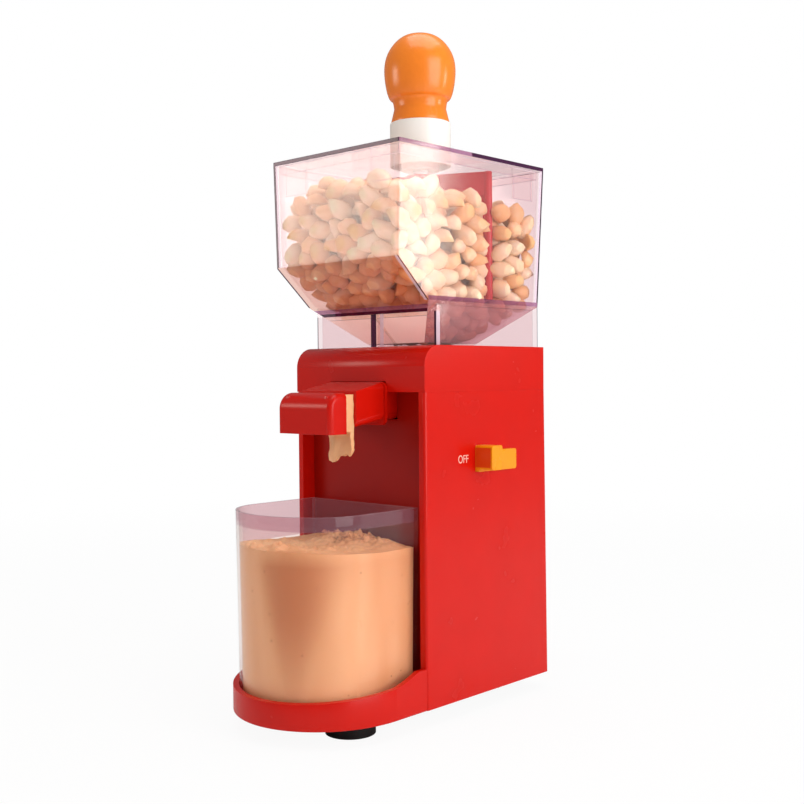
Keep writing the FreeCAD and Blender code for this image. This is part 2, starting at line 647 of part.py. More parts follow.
def hopper_block(top_z, inset):
    """Solid common to the hopper's side and front outlines."""
    reach = COLUMN_DEPTH * 2
    side = inset_face([(-reach, y, z) for y, z in hopper_side_outline(top_z)], inset)
    front = inset_face([(x, -reach, z) for x, z in hopper_front_outline(top_z)], inset)
    return side.extrude(Vector(2 * reach, 0, 0)).common(front.extrude(Vector(0, 3 * reach, 0)))


def hopper_walls():
    """Bin, funnel and round spigot together, before they part at the fold and the floor."""
    outer = hopper_block(RIM_Z, 0)
    outer = outer.makeFillet(HOPPER_ROUND, edges_along(outer, Z_AXIS, lambda c: c.z > FOLD_Z))
    cavity = hopper_block(RIM_Z + COLLAR_HEIGHT, HOPPER_WALL)
    spigot = cylinder(THROAT_RADIUS + SPIGOT_WALL, CAP_TOP_Z - SPIGOT_LENGTH, CAP_TOP_Z + 1, 0, AXIS_Y)
    throat = cylinder(THROAT_RADIUS, CAP_TOP_Z - SPIGOT_LENGTH - 1, FOLD_Z, 0, AXIS_Y)
    return fuse([outer, spigot]).cut([cavity, throat])


def room_below(level):
    """Room under a level, wider than the machine."""
    return box(-COLUMN_WIDTH, COLUMN_WIDTH, -COLUMN_DEPTH, 2 * COLUMN_DEPTH, 0, level)


def make_hopper_bin():
    """Clear bin of the hopper, open below, with the sloping front."""
    return hopper_walls().cut(room_below(FOLD_Z))


def make_hopper_funnel():
    """Clear four-sided funnel under the bin."""
    return hopper_walls().common(room_below(FOLD_Z)).cut(room_below(FUNNEL_FLOOR_Z))


def make_hopper_spigot():
    """Clear floor of the funnel with the round spigot into the cap."""
    return hopper_walls().common(room_below(FUNNEL_FLOOR_Z))


def make_hopper_skirt():
    """Clear skirt round the funnel that stands on the cap, with a rib in front."""
    half = SKIRT_WIDTH / 2
    skirt = box(-half, half, SKIRT_FRONT, FOLD_BACK, CAP_TOP_Z, FOLD_Z)
    skirt = skirt.makeFillet(HOPPER_ROUND, edges_along(skirt, Z_AXIS, lambda c: True))
    inner = half - HOPPER_WALL
    skirt = skirt.cut(box(-inner, inner, SKIRT_FRONT + HOPPER_WALL, FOLD_BACK - HOPPER_WALL, CAP_TOP_Z, FOLD_Z))
    rib = box(-SKIRT_RIB / 2, SKIRT_RIB / 2, SKIRT_FRONT + 1, AXIS_Y - MOUTH_FRONT, CAP_TOP_Z, FOLD_Z)
    return fuse([skirt, rib]).cut(hopper_block(RIM_Z, 0))


def lid_ring(drop, gap, wall):
    """Skirt under the lid that hugs the hopper's walls down to a drop."""
    z0 = RIM_Z - drop
    lean = (RIM_WIDTH - FOLD_WIDTH) / 2 / (RIM_Z - FOLD_Z)
    half = RIM_WIDTH / 2 - HOPPER_WALL - lean * drop - gap
    y0 = RIM_FRONT + HOPPER_WALL + gap
    y1 = RIM_BACK - HOPPER_WALL - gap - (RIM_BACK - FOLD_BACK) / (RIM_Z - FOLD_Z) * drop
    outer = box(-half, half, y0, y1, z0, RIM_Z)
    outer = outer.makeFillet(HOPPER_ROUND, edges_along(outer, Z_AXIS, lambda c: True))
    return outer.cut(box(-half + wall, half - wall, y0 + wall, y1 - wall, z0, RIM_Z))


def make_hopper_lid():
    """Clear lid: plate flush with the rim, low skirt inside the walls, long locating tabs."""
    half = RIM_WIDTH / 2
    plate = box(-half, half, RIM_FRONT, RIM_BACK, RIM_Z, LID_TOP_Z)
    plate = plate.makeFillet(HOPPER_ROUND, edges_along(plate, Z_AXIS, lambda c: True))
    tabs = lid_ring(LID_TAB_DROP, LID_TAB_GAP, LID_SKIRT_WALL)
    y0, y1 = LID_SIDE_TAB_Y - LID_TAB_LENGTH / 2, LID_SIDE_TAB_Y + LID_TAB_LENGTH / 2
    x0, x1 = LID_FRONT_TAB_X - LID_TAB_LENGTH / 2, LID_FRONT_TAB_X + LID_TAB_LENGTH / 2
    low = RIM_Z - LID_TAB_DROP
    side = box(-half, half, y0, y1, low, RIM_Z)
    front = [box(x0, x1, RIM_FRONT, 0, low, RIM_Z), box(-x1, -x0, RIM_FRONT, 0, low, RIM_Z)]
    tabs = tabs.common(fuse([side] + front))
    bore = cylinder(COLLAR_SPIGOT_RADIUS + PRESS_FIT, RIM_Z - 1, LID_TOP_Z + 1, 0, AXIS_Y)
    return fuse([plate, lid_ring(LID_SKIRT, LID_SKIRT_GAP, LID_SKIRT_WALL), tabs]).cut(bore)


def make_lid_collar():
    """White collar on the lid that the stirrer's stem turns in."""
    body = cylinder(COLLAR_RADIUS, LID_TOP_Z, COLLAR_TOP_Z, 0, AXIS_Y)
    spigot = cylinder(COLLAR_SPIGOT_RADIUS, RIM_Z, LID_TOP_Z + 1, 0, AXIS_Y)
    hollow = tube(COLLAR_RADIUS - COLLAR_WALL, COLLAR_SPIGOT_RADIUS, LID_TOP_Z, COLLAR_TOP_Z - COLLAR_WALL,
                  0, AXIS_Y)
    bore = cylinder(STEM_RADIUS + RUNNING_FIT, RIM_Z - 1, COLLAR_TOP_Z + 1, 0, AXIS_Y)
    return fuse([body.cut(hollow), spigot]).cut(bore)


def make_stirrer_knob():
    """Turned knob: flange, waist, full shoulder and crown, bored for the stem."""
    top = KNOB_BASE_Z + KNOB_HEIGHT - ASSEMBLY_GAP
    flange_z = KNOB_BASE_Z + KNOB_FLANGE
    neck = Vector(KNOB_NECK_RADIUS, 0, KNOB_BASE_Z + KNOB_NECK_HEIGHT)
    side = Part.BSplineCurve()
    side.interpolate([
        Vector(0, 0, top),
        Vector(KNOB_CROWN_RADIUS, 0, top - KNOB_CROWN_DROP),
        Vector(KNOB_SHOULDER_RADIUS, 0, top - KNOB_SHOULDER_DROP),
        Vector(KNOB_RADIUS, 0, KNOB_BASE_Z + KNOB_WIDEST_HEIGHT),
        Vector(KNOB_WAIST_RADIUS, 0, KNOB_BASE_Z + KNOB_WAIST_HEIGHT),
        neck,
    ], InitialTangent=X_AXIS, FinalTangent=Vector(-KNOB_NECK_LEAN, 0, -1))
    corners = [neck, Vector(KNOB_FLANGE_RADIUS, 0, flange_z), Vector(KNOB_FLANGE_RADIUS, 0, KNOB_BASE_Z),
               Vector(0, 0, KNOB_BASE_Z), Vector(0, 0, top)]
    lines = [Part.LineSegment(a, b).toShape() for a, b in zip(corners, corners[1:])]
    face = Part.Face(Part.Wire([side.toShape()] + lines))
    solid = face.revolve(Vector(0, 0, 0), Z_AXIS, 360).translated(Vector(0, AXIS_Y, 0))
    return solid.cut(cylinder(STEM_RADIUS, KNOB_BASE_Z - 1, KNOB_BASE_Z + STEM_IN_KNOB, 0, AXIS_Y))


def make_stirrer_stem():
    """Steel stem from the knob through the collar to the paddle's hub."""
    low = RIM_Z - STIRRER_TOP_GAP - STIRRER_ARM_HEIGHT
    return cylinder(STEM_RADIUS, low, KNOB_BASE_Z + STEM_IN_KNOB, 0, AXIS_Y)


def make_stirrer_paddle():
    """Two-armed stirrer: hub, top arms, round upright beads, each with a fin on its inner side."""
    top = RIM_Z - STIRRER_TOP_GAP
    low = top - STIRRER_DROP
    arm_low = top - STIRRER_ARM_HEIGHT
    half = STIRRER_ARM_WALL / 2
    fin = STIRRER_FIN_WALL / 2
    arm = box(0, STIRRER_RADIUS, -half, half, arm_low, top)
    bead = cylinder(STIRRER_BEAD_RADIUS, low, top, STIRRER_RADIUS)
    blade = box(STIRRER_RADIUS - STIRRER_FIN_WIDTH, STIRRER_RADIUS, -fin, fin, low, top)
    side = fuse([arm, bead, blade])
    both = fuse([side, turned(side, 180), cylinder(STIRRER_HUB_RADIUS, arm_low, top)])
    both = both.cut(cylinder(STEM_RADIUS, arm_low - 1, top + 1))
    return turned(both, STIRRER_ANGLE).translated(Vector(0, AXIS_Y, 0))


# --- cup ---
def cup_block(inset, z0, z1, foot_round):
    """Cup's outline with its draft, moved in by an inset, between two levels, rounded below."""
    wires = []
    for z in (z0, z1):
        draft = inset + CUP_DRAFT * (1 - (z - TRAY_FLOOR_Z) / CUP_HEIGHT)
        wires.append(nose_wire(CUP_RIM_HALF - draft, CUP_BACK - draft, CUP_STRAIGHT, CUP_NOSE - draft, z))
    block = Part.makeLoft(wires, True)
    return block.makeFillet(foot_round, [e for e in block.Edges if e.BoundBox.ZMax < z0 + 1])


def make_butter_cup():
    """Clear cup: flat back, half-elliptic front, slight draft, rounded foot."""
    top = TRAY_FLOOR_Z + CUP_HEIGHT
    outer = cup_block(0, TRAY_FLOOR_Z, top, CUP_FOOT_ROUND)
    return outer.cut(cup_block(CUP_WALL, TRAY_FLOOR_Z + CUP_FLOOR, top + 1, CUP_FOOT_ROUND - CUP_WALL))


# --- spout ---
def arm_outline(inset, back_y):
    """Spout arm seen from the side, falling towards its mouth, moved in by an inset."""
    tip_low = ARM_LOW_Z - ARM_TIP_DROP + inset
    tip_top = ARM_TOP_Z - ARM_TIP_TOP_DROP - inset
    return [(-ARM_REACH, tip_low), (0, ARM_LOW_Z + inset), (back_y, ARM_LOW_Z + inset),
            (back_y, ARM_TOP_Z - inset), (0, ARM_TOP_Z - inset), (-ARM_REACH, tip_top)]


def make_spout_arm():
    """Duct from the grinding chamber through the column's front to the open mouth."""
    outer = side_prism(arm_outline(0, BACK_WALL_Y), ARM_HALF)
    outer = outer.makeFillet(ARM_CORNER, edges_along(outer, Y_AXIS, lambda c: abs(c.x) > 1))
    neck = box(-ARM_NECK_HALF, ARM_NECK_HALF, BACK_WALL_Y - 1, AXIS_Y, ARM_LOW_Z, ARM_TOP_Z)
    half = ARM_HALF + COLLAR_PLATE_MARGIN
    plate = box(-half, half, -COLLAR_PLATE, 0, ARM_LOW_Z - COLLAR_PLATE_DROP, ARM_TOP_Z)
    plate = plate.makeFillet(ARM_CORNER, edges_along(plate, Y_AXIS, lambda c: True))
    duct = side_prism(arm_outline(ARM_WALL, BACK_WALL_Y - ARM_WALL), ARM_HALF - ARM_WALL)
    port = ARM_NECK_HALF - ARM_WALL
    bore = box(-port, port, -1, AXIS_Y, ARM_LOW_Z + ARM_WALL, ARM_TOP_Z - ARM_WALL)
    mouth = box(-ARM_HALF + ARM_WALL, ARM_HALF - ARM_WALL, -ARM_REACH - 1, -ARM_REACH + 1,
                ARM_LOW_Z - ARM_TIP_DROP + ARM_WALL, ARM_TOP_Z - ARM_TIP_TOP_DROP - ARM_WALL)
    chamber = cylinder(CHAMBER_RADIUS + RUNNING_FIT, ARM_LOW_Z - 1, ARM_TOP_Z + 1, 0, AXIS_Y)
    return fuse([outer, neck, plate]).cut([duct, bore, mouth, chamber])


def hood_block(inset, low, top_round, side_round):
    """Hood's outline moved in by an inset: large round over the front, smaller ones at its sides."""
    back = -ARM_REACH - HOOD_GAP
    front = back - HOOD_THICKNESS + inset
    top = low + HOOD_HEIGHT - inset
    half = HOOD_HALF - inset
    block = box(-half, half, front, back, low, top)
    over = edges_along(block, X_AXIS, lambda c: c.z > top - 1 and c.y < front + 1)
    block = block.makeFillet(top_round, over)
    return block.makeFillet(side_round, edges_along(block, Z_AXIS, lambda c: c.y < front + 1))


def make_spout_hood():
    """Hood in front of the mouth: rounded shell open behind and below, on two rails."""
    low = ARM_LOW_Z - ARM_TIP_DROP - HOOD_DROP
    outer = hood_block(0, low, HOOD_TOP_ROUND, HOOD_SIDE_ROUND)
    inner = hood_block(HOOD_WALL, low, HOOD_TOP_ROUND - HOOD_WALL, HOOD_SIDE_ROUND - HOOD_WALL)
    rail_top = ARM_TOP_Z - ARM_TIP_TOP_DROP - ARM_WALL
    front = HOOD_WALL - ARM_REACH - HOOD_GAP - HOOD_THICKNESS
    rail = box(HOOD_RAIL_X, HOOD_RAIL_X + HOOD_RAIL, front, -ARM_REACH + HOOD_GAP, rail_top - HOOD_RAIL, rail_top)
    return fuse([outer.cut(inner)] + mirrored_pair(rail))


# --- grinding chamber ---
def chamber_corners():
    """Places of the four chamber screws, between the chamber and its flange's edge."""
    radius = (CHAMBER_RADIUS + CHAMBER_FLANGE) / 2
    angles = [math.radians(45 + 90 * i) for i in range(4)]
    return [(radius * math.cos(a), AXIS_Y + radius * math.sin(a)) for a in angles]


def make_grind_chamber():
    """Pot under the cap that holds the burrs, with a port to the spout."""
    pot = cylinder(CHAMBER_RADIUS, CHAMBER_LOW_Z, CHAMBER_TOP_Z, 0, AXIS_Y)
    flange = cylinder(CHAMBER_FLANGE, CHAMBER_TOP_Z - CHAMBER_FLANGE_THICKNESS, CHAMBER_TOP_Z, 0, AXIS_Y)
    inside = cylinder(CHAMBER_INNER, CHAMBER_FLOOR_Z, CHAMBER_TOP_Z, 0, AXIS_Y)
    seal = cylinder(SEAL_RADIUS + PRESS_FIT, CHAMBER_LOW_Z - 1, CHAMBER_FLOOR_Z + 1, 0, AXIS_Y)
    port = box(-CHAMBER_PORT_HALF, CHAMBER_PORT_HALF, AXIS_Y - CHAMBER_RADIUS - 1, AXIS_Y,
               CHAMBER_FLOOR_Z, BURR_LOW_Z)
    screws = [cylinder(SCREW_RADIUS + PRESS_FIT, CHAMBER_LOW_Z, CHAMBER_TOP_Z, x, y) for x, y in chamber_corners()]
    shelf = flange.cut(screws)
    return fuse([pot, shelf]).cut([inside, seal, port])


def make_burr_stator():
    """Fixed ring with a conical bore."""
    ring = cylinder(CHAMBER_INNER - PRESS_FIT, BURR_LOW_Z + ASSEMBLY_GAP, BURR_TOP_Z, 0, AXIS_Y)
    low = BURR_LOW_RADIUS + BURR_GAP
    high = AUGER_RADIUS + 2 * BURR_GAP
    bore = Part.makeCone(low, high, BURR_HEIGHT, Vector(0, AXIS_Y, BURR_LOW_Z))
    return ring.cut(bore)


def make_burr_rotor():
    """Turning cone with grinding flutes."""
    cone = Part.makeCone(BURR_LOW_RADIUS, BURR_HIGH_RADIUS, BURR_HEIGHT, Vector(0, AXIS_Y, BURR_LOW_Z))
    flute = box(AUGER_HUB_RADIUS + BURR_FLUTE_DEPTH, BURR_LOW_RADIUS, AXIS_Y - BURR_FLUTE / 2, AXIS_Y + BURR_FLUTE / 2,
                BURR_LOW_Z + BURR_EDGE, BURR_TOP_Z + 1)
    lean = math.degrees(math.atan((BURR_LOW_RADIUS - BURR_HIGH_RADIUS) / BURR_HEIGHT))
    flute.rotate(Vector(BURR_LOW_RADIUS - BURR_FLUTE_DEPTH, AXIS_Y, BURR_LOW_Z + BURR_EDGE), Y_AXIS, -lean)
    flute = flute.common(box(BURR_HIGH_RADIUS - BURR_FLUTE_DEPTH, BURR_LOW_RADIUS, 0, COLUMN_DEPTH,
                             BURR_LOW_Z + BURR_EDGE, BURR_TOP_Z + 1))
    return cone.cut(ring_of(flute, BURR_FLUTES, AXIS_Y)).cut(spindle_bore())


def spindle_bore():
    """Bore for the output spindle."""
    return cylinder(SPINDLE_RADIUS, CHAMBER_LOW_Z, BURR_TOP_Z + AUGER_HEIGHT, 0, AXIS_Y)


def make_butter_wiper():
    """Bar on the chamber's floor that pushes the butter to the port."""
    z0 = CHAMBER_FLOOR_Z + ASSEMBLY_GAP
    reach = CHAMBER_INNER - LOOSE_FIT
    bar = box(-reach, reach, AXIS_Y - WIPER_THICKNESS / 2, AXIS_Y + WIPER_THICKNESS / 2, z0, BURR_LOW_Z)
    bar = bar.common(cylinder(reach, z0, BURR_LOW_Z, 0, AXIS_Y))
    return fuse([bar, cylinder(SEAL_RADIUS, z0, BURR_LOW_Z, 0, AXIS_Y)]).cut(spindle_bore())


def make_feed_auger():
    """Hub with slanted vanes that draw the nuts down."""
    hub = cylinder(AUGER_HUB_RADIUS, BURR_TOP_Z, BURR_TOP_Z + AUGER_HEIGHT, 0, AXIS_Y)
    vane = box(SPINDLE_RADIUS + 1, COLUMN_WIDTH, AXIS_Y - AUGER_VANE / 2, AXIS_Y + AUGER_VANE / 2,
               BURR_TOP_Z - AUGER_HEIGHT, BURR_TOP_Z + 2 * AUGER_HEIGHT)
    vane.rotate(Vector(0, AXIS_Y, BURR_TOP_Z + AUGER_HEIGHT / 2), X_AXIS, AUGER_SLANT)
    reach = cylinder(AUGER_RADIUS, BURR_TOP_Z + ASSEMBLY_GAP, BURR_TOP_Z + AUGER_HEIGHT, 0, AXIS_Y)
    vane = vane.common(reach)
    return fuse([hub] + ring_of(vane, AUGER_VANES, AXIS_Y)).cut(spindle_bore())


def make_chamber_seal():
    """Ring seal round the spindle in the chamber's floor."""
    return tube(SEAL_RADIUS, SPINDLE_RADIUS + RUNNING_FIT, CHAMBER_LOW_Z, CHAMBER_FLOOR_Z, 0, AXIS_Y)


def make_output_spindle():
    """Spindle from the gearbox up to the auger."""
    return cylinder(SPINDLE_RADIUS, GEAR_CASE_LOW_Z + ASSEMBLY_GAP, BURR_TOP_Z + AUGER_HEIGHT, 0, AXIS_Y)


# --- gearbox ---
def gear(teeth, addendum, phase):
    """Involute gear about the Z axis, lower face at z = 0, first tooth at the phase angle."""
    pitch = GEAR_MODULE * teeth / 2
    slope = math.radians(PRESSURE_ANGLE)
    base = pitch * math.cos(slope)
    start = max(base, pitch - GEAR_DEDENDUM)
    half = math.pi / 2 / teeth - GEAR_BACKLASH / 2 / pitch + math.tan(slope) - slope
    radii = [start + (pitch + addendum - start) * i / FLANK_STEPS for i in range(FLANK_STEPS + 1)]
    flank = []
    for r in radii:
        roll = math.acos(min(1, base / r))
        flank.append((r, half - math.tan(roll) + roll))
    side = [(pitch - GEAR_DEDENDUM, flank[0][1])] + flank
    tooth = [(r, -a) for r, a in side] + [(r, a) for r, a in reversed(side)]
    points = []
    for i in range(teeth):
        turn = math.radians(phase) + 2 * math.pi * i / teeth
        points += [(r * math.cos(turn + a), r * math.sin(turn + a), 0) for r, a in tooth]
    return polygon_face(points).extrude(Vector(0, 0, GEAR_WIDTH))


def make_drive_gear():
    """Large gear on the output spindle."""
    wheel = gear(WHEEL_TEETH, WHEEL_ADDENDUM, 180 / WHEEL_TEETH)
    return wheel.translated(Vector(0, AXIS_Y, GEAR_LOW_Z)).cut(
        cylinder(SPINDLE_RADIUS, GEAR_LOW_Z - 1, GEAR_LOW_Z + GEAR_WIDTH + 1, 0, AXIS_Y))


def make_motor_pinion():
    """Small gear on the motor's shaft."""
    pinion = gear(PINION_TEETH, PINION_ADDENDUM, 0)
    return pinion.translated(Vector(0, MOTOR_Y, GEAR_LOW_Z)).cut(
        cylinder(SHAFT_RADIUS, GEAR_LOW_Z - 1, GEAR_LOW_Z + GEAR_WIDTH + 1, 0, MOTOR_Y))


def gear_case_block(inset, z0, z1):
    """Outline round both gears, between two levels."""
    big = WHEEL_RADIUS + GEAR_CASE_MARGIN + GEAR_MODULE - inset
    tail = GEAR_CASE_TAIL - inset
    parts = [cylinder(big, z0, z1, 0, AXIS_Y), cylinder(tail, z0, z1, 0, MOTOR_Y),
             box(-tail, tail, AXIS_Y, MOTOR_Y, z0, z1)]
    return fuse(parts)


def make_gear_case():
    """Lower gearbox shell with cross bars that rest on the column's shelves."""
    low, top = GEAR_CASE_LOW_Z, GEAR_CASE_TOP_Z - GEAR_CASE_WALL
    floor = low + GEAR_CASE_WALL
    shell = gear_case_block(0, low, top).cut(gear_case_block(GEAR_CASE_WALL, floor, top))
    half = INNER_HALF - ASSEMBLY_GAP
    bars = [box(-half, half, y - FRAME_BAR / 2, y + FRAME_BAR / 2, low, floor)
            for y in (FRAME_FRONT_Y, FRAME_REAR_Y)]
    boss = cylinder(BUSH_RADIUS + GEAR_CASE_WALL, low, low + BUSH_LENGTH, 0, AXIS_Y)
    holes = [cylinder(BUSH_RADIUS + PRESS_FIT, low - 1, low + BUSH_LENGTH + 1, 0, AXIS_Y),
             cylinder(SHAFT_RADIUS + 1, low - 1, floor + 1, 0, MOTOR_Y)]
    holes += [cylinder(SCREW_RADIUS + PRESS_FIT, low - 1, floor + 1, x, y) for x, y in FRAME_CORNERS]
    return fuse([shell, boss] + bars).cut(holes)


def make_gear_cover():
    """Plate over the gearbox with posts that carry the chamber."""
    top = GEAR_CASE_TOP_Z
    plate = gear_case_block(0, top - GEAR_CASE_WALL, top)
    posts = [cylinder(BOSS_RADIUS, top - 1, CHAMBER_LOW_Z, x, y) for x, y in cover_posts()]
    boss = cylinder(BUSH_RADIUS + GEAR_CASE_WALL, top - 1, top + BUSH_RISE, 0, AXIS_Y)
    bore = cylinder(BUSH_RADIUS + PRESS_FIT, top - BUSH_LENGTH, top + BUSH_RISE + 1, 0, AXIS_Y)
    return fuse([plate, boss] + posts).cut(bore)


def cover_posts():
    """Places of the posts between the gearbox and the chamber."""
    radius = CHAMBER_RADIUS - 2 * BOSS_RADIUS
    angles = [math.radians(30 + 120 * i) for i in range(3)]
    return [(radius * math.cos(a), AXIS_Y + radius * math.sin(a)) for a in angles]


def make_spindle_bushes():
    """Plain bushes of the output spindle."""
    top = GEAR_CASE_TOP_Z + BUSH_RISE
    low = tube(BUSH_RADIUS, SPINDLE_RADIUS + RUNNING_FIT, GEAR_CASE_LOW_Z, GEAR_CASE_LOW_Z + BUSH_LENGTH, 0, AXIS_Y)
    high = tube(BUSH_RADIUS, SPINDLE_RADIUS + RUNNING_FIT, top - BUSH_LENGTH, top, 0, AXIS_Y)
    return Part.makeCompound([low, high])


# --- motor ---
def motor_tube(outer, inner, z0, z1):
    """A tube about the motor's axis."""
    return tube(outer, inner, z0, z1, 0, MOTOR_Y)


def make_motor_can():
    """Drawn steel can with a closed top."""
    wall = MOTOR_CAN_WALL
    end_z = MOTOR_LOW_Z + BUSH_LENGTH
    can = cylinder(MOTOR_RADIUS, end_z, MOTOR_TOP_Z, 0, MOTOR_Y)
    inside = cylinder(MOTOR_RADIUS - wall, end_z, MOTOR_TOP_Z - wall, 0, MOTOR_Y)
    boss = cylinder(BUSH_RADIUS + wall, MOTOR_TOP_Z - BUSH_LENGTH, MOTOR_TOP_Z, 0, MOTOR_Y)
    bore = cylinder(BUSH_RADIUS + PRESS_FIT, end_z, MOTOR_TOP_Z + 1, 0, MOTOR_Y)
    return fuse([can.cut(inside), boss]).cut(bore)


def make_motor_end_cap():
    """Lower end of the motor with the lower bush's seat."""
    return motor_tube(MOTOR_RADIUS, BUSH_RADIUS + PRESS_FIT, MOTOR_LOW_Z, MOTOR_LOW_Z + BUSH_LENGTH)


def make_motor_bushes():
    """Plain bushes of the motor's shaft."""
    bore = SHAFT_RADIUS + RUNNING_FIT
    return Part.makeCompound([motor_tube(BUSH_RADIUS, bore, MOTOR_LOW_Z, MOTOR_LOW_Z + BUSH_LENGTH),
                              motor_tube(BUSH_RADIUS, bore, MOTOR_TOP_Z - BUSH_LENGTH, MOTOR_TOP_Z)])


def armature_z():
    """Lower level of the armature."""
    return MOTOR_LOW_Z + BUSH_LENGTH + COMMUTATOR_LENGTH + 3 * SCREW_HEAD


def make_motor_magnets():
    """Two curved magnets against the can's wall."""
    outer = MOTOR_RADIUS - MOTOR_CAN_WALL
    z0 = armature_z() - SCREW_HEAD
    ring = motor_tube(outer, outer - MAGNET_THICKNESS, z0, z0 + MAGNET_LENGTH)
    wedge = Part.makeCylinder(outer + 1, MAGNET_LENGTH, Vector(0, MOTOR_Y, z0), Z_AXIS, MAGNET_ARC)
    wedge = turned(wedge, -MAGNET_ARC / 2, MOTOR_Y)
    return Part.makeCompound([ring.common(wedge), ring.common(turned(wedge, 180, MOTOR_Y))])


def make_armature():
    """Slotted rotor of the motor."""
    z0 = armature_z()
    core = cylinder(ARMATURE_RADIUS, z0, z0 + ARMATURE_LENGTH, 0, MOTOR_Y)
    slot = box(ARMATURE_RADIUS / 2, ARMATURE_RADIUS + 1, MOTOR_Y - ARMATURE_SLOT / 2, MOTOR_Y + ARMATURE_SLOT / 2,
               z0, z0 + ARMATURE_LENGTH)
    return core.cut(ring_of(slot, ARMATURE_SLOTS, MOTOR_Y)).cut(cylinder(SHAFT_RADIUS, z0, z0 + ARMATURE_LENGTH,
                                                                         0, MOTOR_Y))


def make_commutator():
    """Copper drum below the armature."""
    z0 = armature_z() - COMMUTATOR_LENGTH - SCREW_HEAD
    return motor_tube(COMMUTATOR_RADIUS, SHAFT_RADIUS, z0, z0 + COMMUTATOR_LENGTH)


def make_motor_fan():
    """Bladed fan above the armature."""
    z0 = armature_z() + MAGNET_LENGTH
    hub = cylinder(SHAFT_RADIUS + MOTOR_CAN_WALL, z0, z0 + FAN_HEIGHT, 0, MOTOR_Y)
    disc = cylinder(FAN_RADIUS, z0, z0 + FAN_BLADE, 0, MOTOR_Y)
    blade = box(SHAFT_RADIUS + 1, FAN_RADIUS - 1, MOTOR_Y - FAN_BLADE / 2, MOTOR_Y + FAN_BLADE / 2,
                z0, z0 + FAN_HEIGHT)
    return fuse([hub, disc] + ring_of(blade, FAN_BLADES, MOTOR_Y)).cut(
        cylinder(SHAFT_RADIUS, z0 - 1, z0 + FAN_HEIGHT + 1, 0, MOTOR_Y))


def make_motor_shaft():
    """Steel shaft from the lower bush to the pinion."""
    return cylinder(SHAFT_RADIUS, MOTOR_LOW_Z + ASSEMBLY_GAP, GEAR_LOW_Z + GEAR_WIDTH, 0, MOTOR_Y)


def make_motor_cradle():
    """Bent steel stand under the motor."""
    z0 = BASE_Z + WALL
    y0, y1 = MOTOR_Y - CRADLE_LENGTH / 2, MOTOR_Y + CRADLE_LENGTH / 2
    outer = box(-CRADLE_HALF, CRADLE_HALF, y0, y1, z0, MOTOR_LOW_Z)
    inner_half = CRADLE_HALF - CRADLE_LEG
    return outer.cut(box(-inner_half, inner_half, y0, y1, z0, MOTOR_LOW_Z - CRADLE_LEG))


# --- switch, board and cord entry ---
def make_switch_slider():
    """Slider on the side wall: low plate, raised thumb block, tongue through the slot."""
    block_end = SWITCH_FRONT + SWITCH_BLOCK_LENGTH
    block_z = SWITCH_LOW_Z + SWITCH_BLOCK_RISE
    plate = box(HALF_WIDTH, HALF_WIDTH + SWITCH_PLATE_PROUD, SWITCH_FRONT, SWITCH_FRONT + SWITCH_LENGTH,
                SWITCH_LOW_Z, SWITCH_LOW_Z + SWITCH_PLATE_HEIGHT)
    plate = plate.makeFillet(SWITCH_ROUND, edges_along(plate, X_AXIS, lambda c: c.y > block_end))
    block = box(HALF_WIDTH, HALF_WIDTH + SWITCH_PROUD, SWITCH_FRONT, block_end, block_z,
                block_z + SWITCH_BLOCK_HEIGHT)
    block = block.makeFillet(SWITCH_ROUND, edges_along(block, X_AXIS, lambda c: True))
    y0 = SWITCH_FRONT + SWITCH_TONGUE_FROM
    half = SWITCH_TONGUE_HEIGHT / 2
    tongue = box(INNER_HALF - WALL / 2, HALF_WIDTH + 1, y0, y0 + SWITCH_TONGUE_LENGTH, SWITCH_Z - half, SWITCH_Z + half)
    return fuse([plate, block, tongue]).translated(Vector(RUNNING_FIT, 0, 0))


def make_switch_body():
    """Switch behind the slot, with a channel for the tongue."""
    y0 = SWITCH_FRONT + SWITCH_TONGUE_FROM + (SWITCH_TONGUE_LENGTH + SWITCH_TRAVEL - SWITCH_BODY_LENGTH) / 2
    half = SWITCH_BODY_HEIGHT / 2
    body = box(INNER_HALF - SWITCH_BODY_DEPTH, INNER_HALF, y0, y0 + SWITCH_BODY_LENGTH,
               SWITCH_Z - half, SWITCH_Z + half)
    channel = switch_slot().translated(Vector(-WALL, 0, 0))
    return body.cut(channel)


def make_rectifier_board():
    """Circuit board on the far wall with its components and standoffs."""
    wall_x = -INNER_HALF
    face_x = wall_x + BOARD_STANDOFF
    y0 = AXIS_Y - BOARD_LENGTH / 2
    z0 = BASE_Z + VENT_HEIGHT
    board = box(face_x, face_x + BOARD_THICKNESS, y0, y0 + BOARD_LENGTH, z0, z0 + BOARD_HEIGHT)
    posts = []
    for y in (y0 + BOARD_STANDOFF, y0 + BOARD_LENGTH - BOARD_STANDOFF):
        for z in (z0 + BOARD_STANDOFF, z0 + BOARD_HEIGHT - BOARD_STANDOFF):
            posts.append(Part.makeCylinder(SCREW_RADIUS, BOARD_STANDOFF + 1, Vector(wall_x, y, z), X_AXIS))
    chip = box(face_x, face_x + BOARD_CHIP, -BOARD_CHIP / 2, BOARD_CHIP / 2, -BOARD_CHIP, BOARD_CHIP)
    centre_z = z0 + BOARD_HEIGHT / 2
    chips = [chip.translated(Vector(0, AXIS_Y + shift, centre_z)) for shift in (-BOARD_CHIP, BOARD_CHIP)]
    return fuse([board] + posts + chips)


